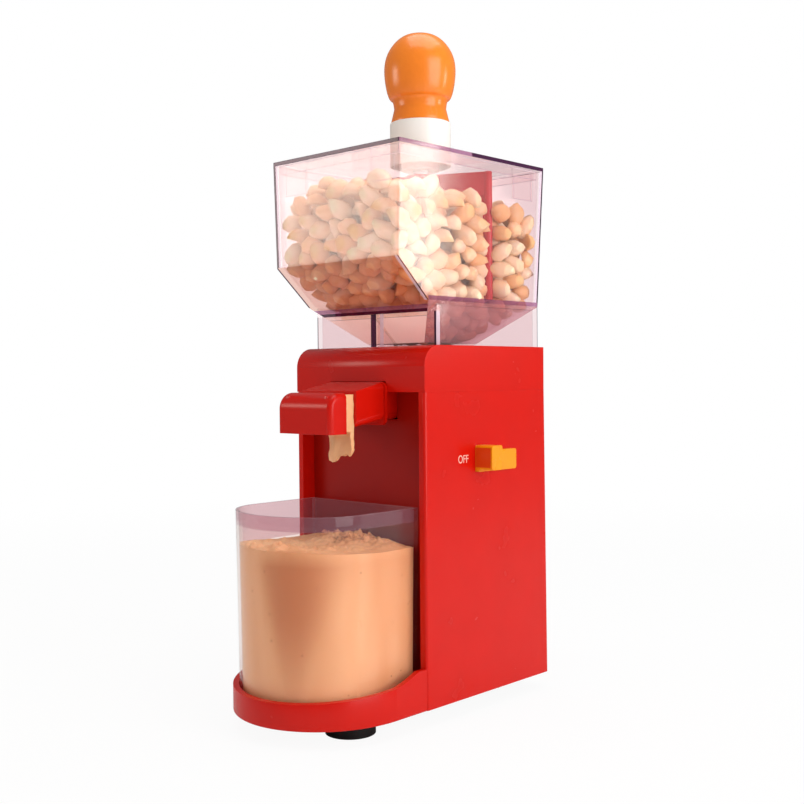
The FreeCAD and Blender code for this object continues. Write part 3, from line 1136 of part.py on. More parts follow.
def make_cord_gland():
    """Gland round the cord's way through the rear wall."""
    outside = GLAND_SEAT_Y + GLAND_PROUD
    inside = GLAND_SEAT_Y - GLAND_DEPTH
    flange = cylinder_y(GLAND_RADIUS, GLAND_SEAT_Y, outside, 0, GLAND_Z)
    flange = flange.makeFillet(GLAND_FLANGE / 2, [e for e in flange.Edges if e.BoundBox.YMin > outside - 1])
    shank = cylinder_y(GLAND_RADIUS - GLAND_FLANGE - PRESS_FIT, inside, GLAND_SEAT_Y + 1, 0, GLAND_Z)
    bore = cylinder_y(GLAND_BORE_RADIUS, inside - 1, outside + 1, 0, GLAND_Z)
    return fuse([flange, shank]).cut(bore)


def build_nodes():
    """Every piece of the machine by name."""
    chamber_seat = CHAMBER_TOP_Z - CHAMBER_FLANGE_THICKNESS
    return {
        "main_housing": make_main_housing(),
        "front_panel": make_front_panel(),
        "top_cap": make_top_cap(),
        "base_tray": make_base_tray(),
        "bottom_cover": make_bottom_cover(),
        "foot_front_left": make_foot(-FOOT_FRONT_X, FOOT_FRONT_Y),
        "foot_front_right": make_foot(FOOT_FRONT_X, FOOT_FRONT_Y),
        "foot_rear_left": make_foot(-FOOT_REAR_X, FOOT_REAR_Y),
        "foot_rear_right": make_foot(FOOT_REAR_X, FOOT_REAR_Y),
        "cover_screws": screws_up(CORNERS, BASE_Z, SCREW_LENGTH - SCREW_HEAD),
        "cap_screws": screws_up(CORNERS, SEAM_Z - BOSS_LENGTH - SCREW_HEAD, BOSS_LENGTH + BOSS_LENGTH - 1),
        "frame_screws": screws_down(FRAME_CORNERS, GEAR_CASE_LOW_Z + GEAR_CASE_WALL, SHELF_HEIGHT),
        "chamber_screws": screws_up(chamber_corners(), chamber_seat - SCREW_HEAD,
                                    CHAMBER_FLANGE_THICKNESS + CAP_PILOT),
        "tray_screws": make_tray_screws(),
        "spout_arm": make_spout_arm(),
        "spout_hood": make_spout_hood(),
        "grind_chamber": make_grind_chamber(),
        "burr_stator": make_burr_stator(),
        "chamber_seal": make_chamber_seal(),
        "gear_case": make_gear_case(),
        "gear_cover": make_gear_cover(),
        "spindle_bushes": make_spindle_bushes(),
        "motor_can": make_motor_can(),
        "motor_end_cap": make_motor_end_cap(),
        "motor_bushes": make_motor_bushes(),
        "motor_magnets": make_motor_magnets(),
        "motor_cradle": make_motor_cradle(),
        "switch_body": make_switch_body(),
        "rectifier_board": make_rectifier_board(),
        "cord_gland": make_cord_gland(),
        "motor_shaft": make_motor_shaft(),
        "armature": make_armature(),
        "commutator": make_commutator(),
        "motor_fan": make_motor_fan(),
        "motor_pinion": make_motor_pinion(),
        "output_spindle": make_output_spindle(),
        "drive_gear": make_drive_gear(),
        "burr_rotor": make_burr_rotor(),
        "butter_wiper": make_butter_wiper(),
        "feed_auger": make_feed_auger(),
        "switch_slider": make_switch_slider(),
        "hopper_bin": make_hopper_bin(),
        "hopper_funnel": make_hopper_funnel(),
        "hopper_spigot": make_hopper_spigot(),
        "hopper_skirt": make_hopper_skirt(),
        "hopper_lid": make_hopper_lid(),
        "lid_collar": make_lid_collar(),
        "stirrer_knob": make_stirrer_knob(),
        "stirrer_stem": make_stirrer_stem(),
        "stirrer_paddle": make_stirrer_paddle(),
        "butter_cup": make_butter_cup(),
    }


def main():
    """Write one STEP file for each piece, moved to the centre of the footprint."""
    os.makedirs("parts", exist_ok=True)
    for name, shape in build_nodes().items():
        placed = shape.translated(ORIGIN * -1)
        placed.exportStep(f"parts/{name}.step")
        print(name, placed.isValid(), len(placed.Solids), round(placed.Volume))


main()
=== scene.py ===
"""Nut butter grinder: the looks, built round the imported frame.

Lengths in this file are millimetres in the machine's own axes: x = 0 on the column's
mid-plane, y = 0 on its front face, z = 0 on the table. at() turns them into the frame.
"""

from __future__ import annotations

import json
import logging
import math
import random
from collections.abc import Iterable
from dataclasses import dataclass, field
from enum import Enum

import bmesh
import bpy
import numpy as np
from mathutils import Matrix, Vector, noise

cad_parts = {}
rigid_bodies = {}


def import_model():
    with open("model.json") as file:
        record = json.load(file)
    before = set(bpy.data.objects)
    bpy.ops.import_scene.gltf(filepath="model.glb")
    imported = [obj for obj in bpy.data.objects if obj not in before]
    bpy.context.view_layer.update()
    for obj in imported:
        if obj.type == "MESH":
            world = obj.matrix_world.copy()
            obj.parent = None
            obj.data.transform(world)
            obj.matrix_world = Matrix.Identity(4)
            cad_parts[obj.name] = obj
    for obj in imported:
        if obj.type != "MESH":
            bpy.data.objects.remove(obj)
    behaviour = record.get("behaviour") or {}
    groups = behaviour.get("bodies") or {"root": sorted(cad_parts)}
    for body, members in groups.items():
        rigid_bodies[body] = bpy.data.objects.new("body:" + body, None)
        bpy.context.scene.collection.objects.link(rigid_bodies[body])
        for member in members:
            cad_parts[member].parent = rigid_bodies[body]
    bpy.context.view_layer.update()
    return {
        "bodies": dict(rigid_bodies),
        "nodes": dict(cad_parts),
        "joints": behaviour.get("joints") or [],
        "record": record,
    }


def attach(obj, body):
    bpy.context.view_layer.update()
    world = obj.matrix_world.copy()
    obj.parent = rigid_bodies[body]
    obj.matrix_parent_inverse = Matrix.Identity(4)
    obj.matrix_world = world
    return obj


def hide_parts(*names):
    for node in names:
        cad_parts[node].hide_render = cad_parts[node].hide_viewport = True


LOG = logging.getLogger("grinder")
ORIGIN_X = 6.5
ORIGIN_Y = 19.905793
SHARP_DEG = 32.0
FLAT_DEG = 0.5
WALL_AREA_M2 = 2e-5
LIKE_SHARE = 0.2
MERGE_M = 2e-6
SEAM_MERGE_M = 2e-5
CUT_M = 1e-6
WHITE_LIGHT = (1, 1, 1, 1)

Point = tuple[float, float, float]
Tree = bpy.types.NodeTree
Socket = bpy.types.NodeSocket
Shape = bmesh.types.BMesh
Face = bmesh.types.BMFace


class Body(Enum):
    """Moving bodies of the frame that carry dressed pieces."""

    HOUSING = "housing"
    SWITCH = "switch"
    HOPPER = "hopper"
    LID = "lid"
    STIRRER = "stirrer"
    CUP = "cup"


def at(x: float, y: float, z: float) -> Vector:
    """Point of the machine in the frame.

    Args:
        x: millimetres to the switch side.
        y: millimetres back from the column's front.
        z: millimetres above the table.

    Returns:
        The point in metres.
    """
    return Vector((x - ORIGIN_X, y - ORIGIN_Y, z)) / 1000


def linear(code: str) -> tuple[float, float, float, float]:
    """Linear colour of an sRGB hex value such as "c0392b"."""
    parts = [int(code[i : i + 2], 16) / 255 for i in (0, 2, 4)]
    red, green, blue = (p / 12.92 if p <= 0.04045 else ((p + 0.055) / 1.055) ** 2.4 for p in parts)
    return red, green, blue, 1.0


def once(items: Iterable) -> list:
    """Items in their own order, each one time."""
    return list(dict.fromkeys(items))


def put_in_scene(name: str, data: bpy.types.ID) -> bpy.types.Object:
    """New object that shows some data."""
    item = bpy.data.objects.new(name, data)
    bpy.context.scene.collection.objects.link(item)
    return item


def add_node(
    tree: Tree, kind: str, inputs: dict[str | int, object] | None = None, **settings: object
) -> bpy.types.Node:
    """Add a node with its settings and inputs.

    Args:
        tree: the node tree.
        kind: the node's type.
        inputs: input sockets by name or index, each with its value or the output that feeds it.
        **settings: attributes of the node.

    Returns:
        The new node.
    """
    node = tree.nodes.new(kind)
    for name, value in settings.items():
        setattr(node, name, value)
    for name, item in (inputs or {}).items():
        if isinstance(item, Socket):
            tree.links.new(item, node.inputs[name])
        else:
            node.inputs[name].default_value = item
    return node


class Look:
    """Finish that makes its own node material."""

    name: str

    def shade(self, tree: Tree) -> Socket:
        """Add the nodes and return the shader's output."""
        raise NotImplementedError

    def build(self) -> bpy.types.Material:
        """Make the material."""
        material = bpy.data.materials.new(self.name)
        material.use_nodes = True
        tree = material.node_tree
        tree.nodes.clear()
        add_node(tree, "ShaderNodeOutputMaterial", {0: self.shade(tree)})
        return material


def place_on_piece(tree: Tree) -> Socket:
    """Place on the piece itself, so that a pattern moves with it."""
    return add_node(tree, "ShaderNodeTexCoord").outputs["Object"]


def painted(tree: Tree, name: str) -> Socket:
    """Value that the piece's points carry under a name."""
    return add_node(tree, "ShaderNodeAttribute", attribute_name=name).outputs["Fac"]


def speckle(tree: Tree, place: Socket, size_mm: float, detail: float, distortion: float = 0.0) -> Socket:
    """Soft random pattern.

    Args:
        tree: the node tree.
        place: where on the piece.
        size_mm: size of its features.
        detail: how many finer layers lie over it.
        distortion: how much it is stirred.

    Returns:
        The pattern's value.
    """
    inputs = {"Scale": 1000 / size_mm, "Detail": detail, "Distortion": distortion, "Vector": place}
    return add_node(tree, "ShaderNodeTexNoise", inputs).outputs["Fac"]


def ramp(
    tree: Tree,
    value: Socket,
    low: float | Socket,
    high: float,
    span: tuple[float, float] = (0.0, 1.0),
    **settings: object,
) -> Socket:
    """Value that runs from low to high while another one runs over its span."""
    inputs = {"Value": value, "From Min": span[0], "From Max": span[1], "To Min": low, "To Max": high}
    return add_node(tree, "ShaderNodeMapRange", inputs, **settings).outputs[0]


def blend(tree: Tree, share: Socket, low: str | Socket, high: str) -> Socket:
    """Mix of two colours, with a share of the second."""
    inputs = {0: share, 6: linear(low) if isinstance(low, str) else low, 7: linear(high)}
    return add_node(tree, "ShaderNodeMix", inputs, data_type="RGBA").outputs[2]


def arithmetic(tree: Tree, operation: str, first: Socket, second: float | Socket) -> Socket:
    """Result of an operation on two numbers."""
    return add_node(tree, "ShaderNodeMath", {0: first, 1: second}, operation=operation).outputs[0]


def mixed(tree: Tree, share: float | Socket, first: Socket, second: Socket) -> Socket:
    """Two shaders mixed, with a share of the second."""
    return add_node(tree, "ShaderNodeMixShader", {0: share, 1: first, 2: second}).outputs[0]


def relief(tree: Tree, height: Socket, strength: float, depth_mm: float) -> Socket:
    """Surface direction bent by a pattern of some depth."""
    inputs = {"Strength": strength, "Distance": depth_mm / 1000, "Height": height}
    return add_node(tree, "ShaderNodeBump", inputs).outputs[0]


@dataclass(frozen=True)
class MouldedPlastic(Look):
    """Injection-moulded plastic: even colour, faint clouding, very fine surface waviness."""

    name: str
    colour: str
    deep_colour: str
    roughness: float = 0.28
    uneven: float = 0.15
    cloud_mm: float = 22.0
    grain_mm: float = 0.7
    grain_depth_mm: float = 0.004
    grain_strength: float = 0.5
    specular: float = 0.5
    index: float = 1.5

    def shade(self, tree: Tree) -> Socket:
        """Add the nodes."""
        place = place_on_piece(tree)
        cloud = speckle(tree, place, self.cloud_mm, 3.0)
        grain = speckle(tree, place, self.grain_mm, 2.0)
        return add_node(tree, "ShaderNodeBsdfPrincipled", {
            "Base Color": blend(tree, cloud, self.colour, self.deep_colour),
            "Roughness": ramp(tree, cloud, *(self.roughness * (1 + s * self.uneven) for s in (-1, 1))),
            "IOR": self.index,
            "Specular IOR Level": self.specular,
            "Normal": relief(tree, grain, self.grain_strength, self.grain_depth_mm),
        }).outputs[0]


@dataclass(frozen=True)
class ClearPlastic(Look):
    """Clear moulded styrene: lets the light straight through, tinted, glossy at a slant; its veil and glow
    can add painted shade, painted highlights and a painted glow.
    """

    name: str
    tint: str
    veil: float = 0.02
    veil_colour: str = "fff4f4"
    index: float = 1.36
    roughness: float = 0.05
    wave_mm: float = 30.0
    wave_depth_mm: float = 1.0
    wave_strength: float = 0.12
    # glow: strength of a painted glow, light the wall gives off though it is no lamp
    glow: float = 0.0

    def shade(self, tree: Tree) -> Socket:
        """Add the nodes."""
        milk = linear(self.veil_colour)
        wave = speckle(tree, place_on_piece(tree), self.wave_mm, 1.0)
        bent = relief(tree, wave, self.wave_strength, self.wave_depth_mm)
        through = add_node(tree, "ShaderNodeBsdfTransparent", {"Color": linear(self.tint)}).outputs[0]
        # veil: a faint milkiness in plain styrene; in the edge, slope and funnel finishes it is painted shade
        # and painted highlights
        frost = add_node(tree, "ShaderNodeBsdfDiffuse", {"Color": milk}).outputs[0]
        # painted glow from inside the wall
        inner = add_node(tree, "ShaderNodeEmission", {"Color": milk, "Strength": self.glow}).outputs[0]
        veil = add_node(tree, "ShaderNodeAddShader", {0: frost, 1: inner}).outputs[0]
        body = mixed(tree, self.veil, through, veil)
        shine = {"Color": WHITE_LIGHT, "Roughness": self.roughness, "Normal": bent}
        gloss = add_node(tree, "ShaderNodeBsdfAnisotropic", shine).outputs[0]
        behind = add_node(tree, "ShaderNodeNewGeometry").outputs["Backfacing"]
        index = ramp(tree, behind, self.index, 1 / self.index)
        slant = add_node(tree, "ShaderNodeFresnel", {"IOR": index, "Normal": bent}).outputs[0]
        return mixed(tree, slant, body, gloss)


@dataclass(frozen=True)
class TurnedMetal(Look):
    """Machined or drawn metal with fine tool marks round the upright axis."""

    name: str
    colour: str
    roughness: float = 0.35
    mark_mm: float = 0.6
    mark_depth_mm: float = 0.02
    mark_strength: float = 0.25

    def shade(self, tree: Tree) -> Socket:
        """Add the nodes."""
        waves = {"Scale": 1000 / self.mark_mm / 6.283, "Distortion": 1.5, "Detail": 2.0,
                 "Vector": place_on_piece(tree)}
        marks = add_node(tree, "ShaderNodeTexWave", waves, bands_direction="Z").outputs["Fac"]
        return add_node(tree, "ShaderNodeBsdfPrincipled", {
            "Base Color": linear(self.colour),
            "Metallic": 1.0,
            "Roughness": self.roughness,
            "Normal": relief(tree, marks, self.mark_strength, self.mark_depth_mm),
        }).outputs[0]


@dataclass(frozen=True)
class NutSkin(Look):
    """Roasted blanched nut: warm cream, each nut a little different, browner where it was toasted."""

    name: str = "roasted_nut"
    pale: str = "fff5d8"
    toasted: str = "fbca8e"
    blotch_mm: float = 6.0
    toast_from: float = 0.42
    wrinkle_mm: float = 2.4
    wrinkle_depth_mm: float = 0.3
    wrinkle_strength: float = 0.5

    def shade(self, tree: Tree) -> Socket:
        """Add the nodes."""
        place = place_on_piece(tree)
        blotch = speckle(tree, place, self.blotch_mm, 3.0)
        toast = arithmetic(tree, "ADD", painted(tree, "toast"), blotch)
        toast = arithmetic(tree, "SUBTRACT", toast, self.toast_from)
        wrinkle = speckle(tree, place, self.wrinkle_mm, 2.0)
        return add_node(tree, "ShaderNodeBsdfPrincipled", {
            "Base Color": blend(tree, toast, self.pale, self.toasted),
            "Roughness": 0.5,
            "Specular IOR Level": 0.35,
            "Subsurface Weight": 0.1,
            "Subsurface Scale": 0.002,
            "Normal": relief(tree, wrinkle, self.wrinkle_strength, self.wrinkle_depth_mm),
        }).outputs[0]


@dataclass(frozen=True)
class GroundButter(Look):
    """Fresh nut butter: smooth paste, uneven in colour, with crumbs of skin where it lies loose, and painted
    shade where its points carry it.
    """

    name: str = "nut_butter"
    pale: str = "fecc9c"
    dark: str = "eba56e"
    dark_share: float = 0.8
    dark_span: tuple[float, float] = (0.40, 0.75)
    cloud_mm: float = 34.0
    cloud_stretch: Point = (1.0, 1.0, 0.18)
    # colour and share of the painted shade patch
    shade_colour: str = "cc7844"
    shade_share: float = 0.75
    crumb_colour: str = "a85a30"
    crumb_share: float = 0.95
    crumb_span: tuple[float, float] = (0.46, 0.58)
    crumb_mm: float = 2.4
    crumb_depth_mm: float = 0.4
    crumb_strength: float = 0.4
    speck_mm: float = 9.0
    speck_share: float = 0.7
    speck_span: tuple[float, float] = (0.04, 0.08)

    def shade(self, tree: Tree) -> Socket:
        """Add the nodes."""
        place = place_on_piece(tree)
        flow = add_node(tree, "ShaderNodeMapping", {"Scale": self.cloud_stretch, "Vector": place})
        cloud = speckle(tree, flow.outputs[0], self.cloud_mm, 2.0, 0.2)
        paste = blend(tree, ramp(tree, cloud, 0.0, self.dark_share, self.dark_span), self.pale, self.dark)
        # painted shade: a darker patch where the butter's points carry it
        shaded = arithmetic(tree, "MULTIPLY", painted(tree, "painted_shade"), self.shade_share)
        body = blend(tree, shaded, paste, self.shade_colour)
        grit = speckle(tree, place, self.crumb_mm, 3.0)
        crumbs = ramp(tree, grit, 0.0, self.crumb_share, self.crumb_span)
        crumbly = arithmetic(tree, "MULTIPLY", crumbs, painted(tree, "crumb"))
        cell = add_node(tree, "ShaderNodeTexVoronoi", {"Scale": 1000 / self.speck_mm, "Vector": place})
        specks = ramp(tree, cell.outputs["Distance"], self.speck_share, 0.0, self.speck_span)
        bits = arithmetic(tree, "MAXIMUM", crumbly, specks)
        return add_node(tree, "ShaderNodeBsdfPrincipled", {
            "Base Color": blend(tree, bits, body, self.crumb_colour),
            "Roughness": 0.5,
            "Specular IOR Level": 0.3,
            "Subsurface Weight": 0.1,
            "Subsurface Scale": 0.003,
            "Normal": relief(tree, crumbly, self.crumb_strength, self.crumb_depth_mm),
        }).outputs[0]


class Finish(Enum):
    """Every finish of the machine."""

    RED = MouldedPlastic("red_abs", "d41305", "c91103", 0.26, specular=0.24)
    # painted shade: a darker copy of the housing red for the recessed front panel
    RED_PANEL_SHADE = MouldedPlastic("red_abs_panel_shade", "a81004", "9e0e03", 0.3, specular=0.22)
    STIRRER_RED = MouldedPlastic("red_polypropylene", "d8303a", "c4242e", 0.30)
    BLACK = MouldedPlastic("black_abs", "1b1a1c", "141315", 0.5)
    RUBBER = MouldedPlastic("black_rubber", "0b0809", "070506", 0.5, grain_depth_mm=0.02, specular=0.3)
    WHITE = MouldedPlastic("white_acetal", "fffcf6", "f8f4ec", 0.35)
    YELLOW = MouldedPlastic("yellow_abs", "f59c08", "ee9206", 0.28)
    # painted shade: an orange-red copy of the yellow for the slider's side that faces away from the key light
    SWITCH_SHADE_SIDE = MouldedPlastic("yellow_abs_shade", "e8500a", "dc4808", 0.35)
    ORANGE = MouldedPlastic("orange_abs", "ff8c26", "f8821e", 0.25)
    LETTERS = MouldedPlastic("letter_ink", "f8c4b4", "f0b8a6", 0.5)
    BOARD = MouldedPlastic("circuit_board", "1c6b35", "165429", 0.45)
    CLEAR = ClearPlastic("clear_styrene", "fdf5f6", roughness=0.12)
    CLEAR_LID = ClearPlastic("clear_styrene_lid", "fffbfb", index=1.12)
    # painted shade: a darker, warmer tint for the walls that face down the hopper's front slope
    CLEAR_SLOPE_SHADE = ClearPlastic("clear_styrene_shaded", "f4d2c4")
    # painted shade lines, painted highlights and mauve painted shade along the edges of the clear pieces
    CLEAR_SHADE_LINE = ClearPlastic("clear_styrene_shade_line", "6e3a64", veil=0.65, veil_colour="341834")
    CLEAR_HIGHLIGHT = ClearPlastic("clear_styrene_highlight", "f0d8e8", veil=0.55, veil_colour="f4e0ee")
    CLEAR_MAUVE_SHADE = ClearPlastic("clear_styrene_mauve_shade", "c898b8", veil=0.3, veil_colour="a07090")
    # painted reflection: a pale veil with a painted glow for the funnel's front slope inside the skirt
    CLEAR_TAN_REFLECTION = ClearPlastic("clear_styrene_tan_reflection", "f4d8cc", veil=0.8, veil_colour="ffece0", glow=0.45)
    # painted shade: a mauve veil on the funnel's right slope, lifted by a painted glow
    CLEAR_FUNNEL_SHADE = ClearPlastic("clear_styrene_funnel_shade", "ecccd4", veil=0.36, veil_colour="c898a0", glow=0.3)
    CUP_CLEAR = ClearPlastic("clear_cup", "fdf8f6", veil=0.01, index=1.22, roughness=0.2)
    # painted reflection: a faint mauve veil for the cup's empty upper wall
    CUP_REFLECTION = ClearPlastic("clear_cup_reflection", "f4e4e6", veil=0.10, veil_colour="c498a8", index=1.3)
    # painted highlight: a pale veil on the cup's bevelled edges
    CUP_HIGHLIGHT = ClearPlastic("clear_cup_highlight", "e0c4d4", veil=0.5, veil_colour="ead4e0")
    STEEL = TurnedMetal("machined_steel", "b9b9bc")
    ZINC = TurnedMetal("zinc_plated_steel", "c9cacd", 0.3)
    BRONZE = TurnedMetal("bearing_bronze", "c09a5a", 0.4)
    MAGNET = TurnedMetal("sintered_magnet", "3a3a3d", 0.6)
    NUT = NutSkin()
    BUTTER = GroundButter()


class Palette:
    """The finishes as Blender materials, each made once."""

    def __init__(self) -> None:
        """Make every material."""
        self._made = {finish: finish.value.build() for finish in Finish}

    def __getitem__(self, finish: Finish) -> bpy.types.Material:
        """Material of a finish."""
        return self._made[finish]


def is_wall(face: Face, sharp: float) -> bool:
    """Whether a face is a flat wall whose shading must not bend towards small rounded neighbours.

    Args:
        face: the face.
        sharp: angle in radians above which an edge stays sharp anyway.

    Returns:
        True for a big face that no neighbour of a like size joins smoothly.
    """
    area = face.calc_area()
    if area < WALL_AREA_M2:
        return False
    for edge in face.edges:
        for other in edge.link_faces:
            if other is face:
                continue
            turn = face.normal.angle(other.normal, 0.0)
            if math.radians(FLAT_DEG) < turn < sharp and other.calc_area() > LIKE_SHARE * area:
                return False
    return True


def finish_piece(
    name: str,
    mesh_source: Shape,
    materials: list[bpy.types.Material],
    body: Body,
    sharp_deg: float = SHARP_DEG,
) -> bpy.types.Object:
    """Turn a bmesh into a smooth-shaded piece that rides on a body.

    Args:
        name: the piece's name.
        mesh_source: the bmesh, freed here.
        materials: the material slots in order.
        body: the body it moves with.
        sharp_deg: edges above this angle stay sharp.

    Returns:
        The object.
    """
    mesh_source.normal_update()
    smooth = [not is_wall(face, math.radians(sharp_deg)) for face in mesh_source.faces]
    mesh = bpy.data.meshes.new(name)
    mesh_source.to_mesh(mesh)
    mesh_source.free()
    for material in materials:
        mesh.materials.append(material)
    mesh.set_sharp_from_angle(angle=math.radians(sharp_deg))
    mesh.polygons.foreach_set("use_smooth", smooth)
    piece = put_in_scene(name, mesh)
    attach(piece, body.value)
    LOG.info("%s: %d faces", name, len(mesh.polygons))
    return piece


def merged_copy(frame: dict, nodes: tuple[str, ...], seam_z: float | None = None) -> Shape:
    """Copy of CAD nodes' meshes with their doubles merged and their flats joined.

    Args:
        nodes: names of nodes that form one moulded piece.
        seam_z: level in millimetres where the nodes meet and their touching faces go.

    Returns:
        The copy.
    """
    copy = bmesh.new()
    for node in nodes:
        copy.from_mesh(frame["nodes"][node].data)
    if seam_z is not None:
        level = seam_z / 1000
        inner = [
            face for face in copy.faces
            if abs(face.normal.z) > 0.99 and all(abs(vert.co.z - level) < SEAM_MERGE_M for vert in face.verts)
        ]
        bmesh.ops.delete(copy, geom=inner, context="FACES")
    bmesh.ops.remove_doubles(copy, verts=copy.verts, dist=MERGE_M if seam_z is None else SEAM_MERGE_M)
    bmesh.ops.dissolve_limit(
        copy, angle_limit=math.radians(FLAT_DEG), verts=copy.verts, edges=copy.edges,
        use_dissolve_boundaries=False,
    )
    return copy


def soften(shape: Shape, width_mm: float, material: int) -> None:
    """Bevel the sharp edges of a shape.

    Args:
        shape: the bmesh.
        width_mm: bevel width.
        material: material index of the new faces, -1 for the neighbours'.
    """
    limit = math.radians(SHARP_DEG)
    edges = [e for e in shape.edges if len(e.link_faces) == 2 and e.calc_face_angle(0) > limit]
    bmesh.ops.bevel(
        shape, geom=edges, offset=width_mm / 1000, offset_type="OFFSET", segments=2, profile=0.5,
        affect="EDGES", material=material, clamp_overlap=True, loop_slide=True,
    )


@dataclass(frozen=True)
class Strip:
    """Straight strip of a wall with a finish of its own, for painted shade, painted highlights and painted
    reflection, as where an edge bends the light.

    Seen from outside the strip lies to the left of the way from start to end.
    """

    start: Point
    end: Point
    facing: Point
    width: float
    finish: Finish
    offset: float = 0.0
    depth: float = 2.0
    turn: float = 0.7

    def paint(self, shape: Shape, index: int) -> None:
        """Cut the wall at the strip's sides and give the faces inside a material index."""
        start, end, out = at(*self.start), at(*self.end), Vector(self.facing).normalized()
        along = (end - start).normalized()
        across = out.cross(along).normalized()
        spans = (
            (across, self.offset / 1000, (self.offset + self.width) / 1000),
            (along, 0.0, (end - start).length),
            (out, -self.depth / 1000, self.depth / 1000),
        )

        def meets(face: Face) -> bool:
            """Whether a face of this wall reaches into the strip."""
            if face.normal.dot(out) < self.turn:
                return False
            for axis, low, high in spans:
                reach = [axis.dot(vert.co - start) for vert in face.verts]
                if max(reach) <= low or min(reach) >= high:
                    return False
            return True

        for axis, low, high in spans[:2]:
            for level in (low, high):
                faces = [face for face in shape.faces if meets(face)]
                parts = once(part for face in faces for part in (face, *face.edges, *face.verts))
                bmesh.ops.bisect_plane(
                    shape, geom=parts, plane_co=start + axis * level, plane_no=axis, dist=CUT_M
                )
        for face in shape.faces:
            middle = face.calc_center_median() - start
            inside = all(low < axis.dot(middle) < high for axis, low, high in spans)
            if inside and face.normal.dot(out) > self.turn:
                face.material_index = index


@dataclass(frozen=True)
class PaintedReflection:
    """Upper part of a wall on one side of a piece with a finish of its own, for a painted reflection."""

    level: float
    toward: Point
    beyond: float
    finish: Finish

    def paint(self, shape: Shape, index: int) -> None:
        """Cut the piece at the level and give the faces above it on that side a material index."""
        level, up = self.level / 1000, Vector((0, 0, 1))
        parts = [*shape.verts, *shape.edges, *shape.faces]
        bmesh.ops.bisect_plane(shape, geom=parts, plane_co=up * level, plane_no=up, dist=CUT_M)
        middle, toward = at(0, 0, 0), Vector(self.toward)
        for face in shape.faces:
            spot = face.calc_center_median()
            aside = toward.dot(spot - middle) * 1000
            if face.material_index == 0 and spot.z > level and aside > self.beyond:
                face.material_index = index


@dataclass
class DressedNode:
    """A CAD node, with what is moulded to it, shown through a copy with softened edges."""

    node: str
    body: Body
    slot: str
    finish: Finish
    edge_mm: float = 0.5
    # the edge finish, strips, wall finishes and upper-wall finishes below lay painted shade, painted
    # highlights and painted reflection on a piece
    edge_finish: Finish | None = None
    strips: tuple[Strip, ...] = ()
    wall_finishes: tuple[tuple[Point, Finish], ...] = ()
    hazes: tuple[PaintedReflection, ...] = ()
    joined: tuple[str, ...] = ()
    seam_z: float | None = None
    same_way: float = 0.95

    def build(self, frame: dict, palette: Palette) -> None:
        """Make the piece and hide the nodes behind it.

        Args:
            palette: the materials.
        """
        shape = merged_copy(frame, (self.node, *self.joined), self.seam_z)
        soften(shape, self.edge_mm, 1 if self.edge_finish else -1)
        finishes = [self.finish] + ([self.edge_finish] if self.edge_finish else [])

        def index_of(finish: Finish) -> int:
            """Material index of a finish, a new one if it has none yet."""
            if finish not in finishes:
                finishes.append(finish)
            return finishes.index(finish)

        # painted shade on the walls that face one way
        for direction, finish in self.wall_finishes:
            facing, index = Vector(direction).normalized(), index_of(finish)
            for face in shape.faces:
                if face.normal.dot(facing) > self.same_way and face.calc_area() > WALL_AREA_M2:
                    face.material_index = index
        # painted reflection on upper walls, then strips of painted shade and highlights
        for area in (*self.hazes, *self.strips):
            area.paint(shape, index_of(area.finish))
        materials = [palette[finish] for finish in finishes]
        piece = finish_piece(f"{self.node}_shell", shape, materials, self.body)
        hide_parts(self.node, *self.joined)


@dataclass(frozen=True)
class HopperShape:
    """Outer lines of the hopper, as its edges and its nuts need them."""

    axis_y: float = 59.0
    foot_z: float = 222.2
    mouth_side: float = 21.8
    mouth_front: float = 22.4
    mouth_back: float = 22.5
    fold_half: float = 51.45
    fold_back: float = 114.8
    fold_z: float = 248.5
    kink_front: float = -18.5
    kink_z: float = 272.3
    rim_half: float = 54.4
    rim_front: float = -18.9
    rim_back: float = 118.0
    rim_z: float = 335.8


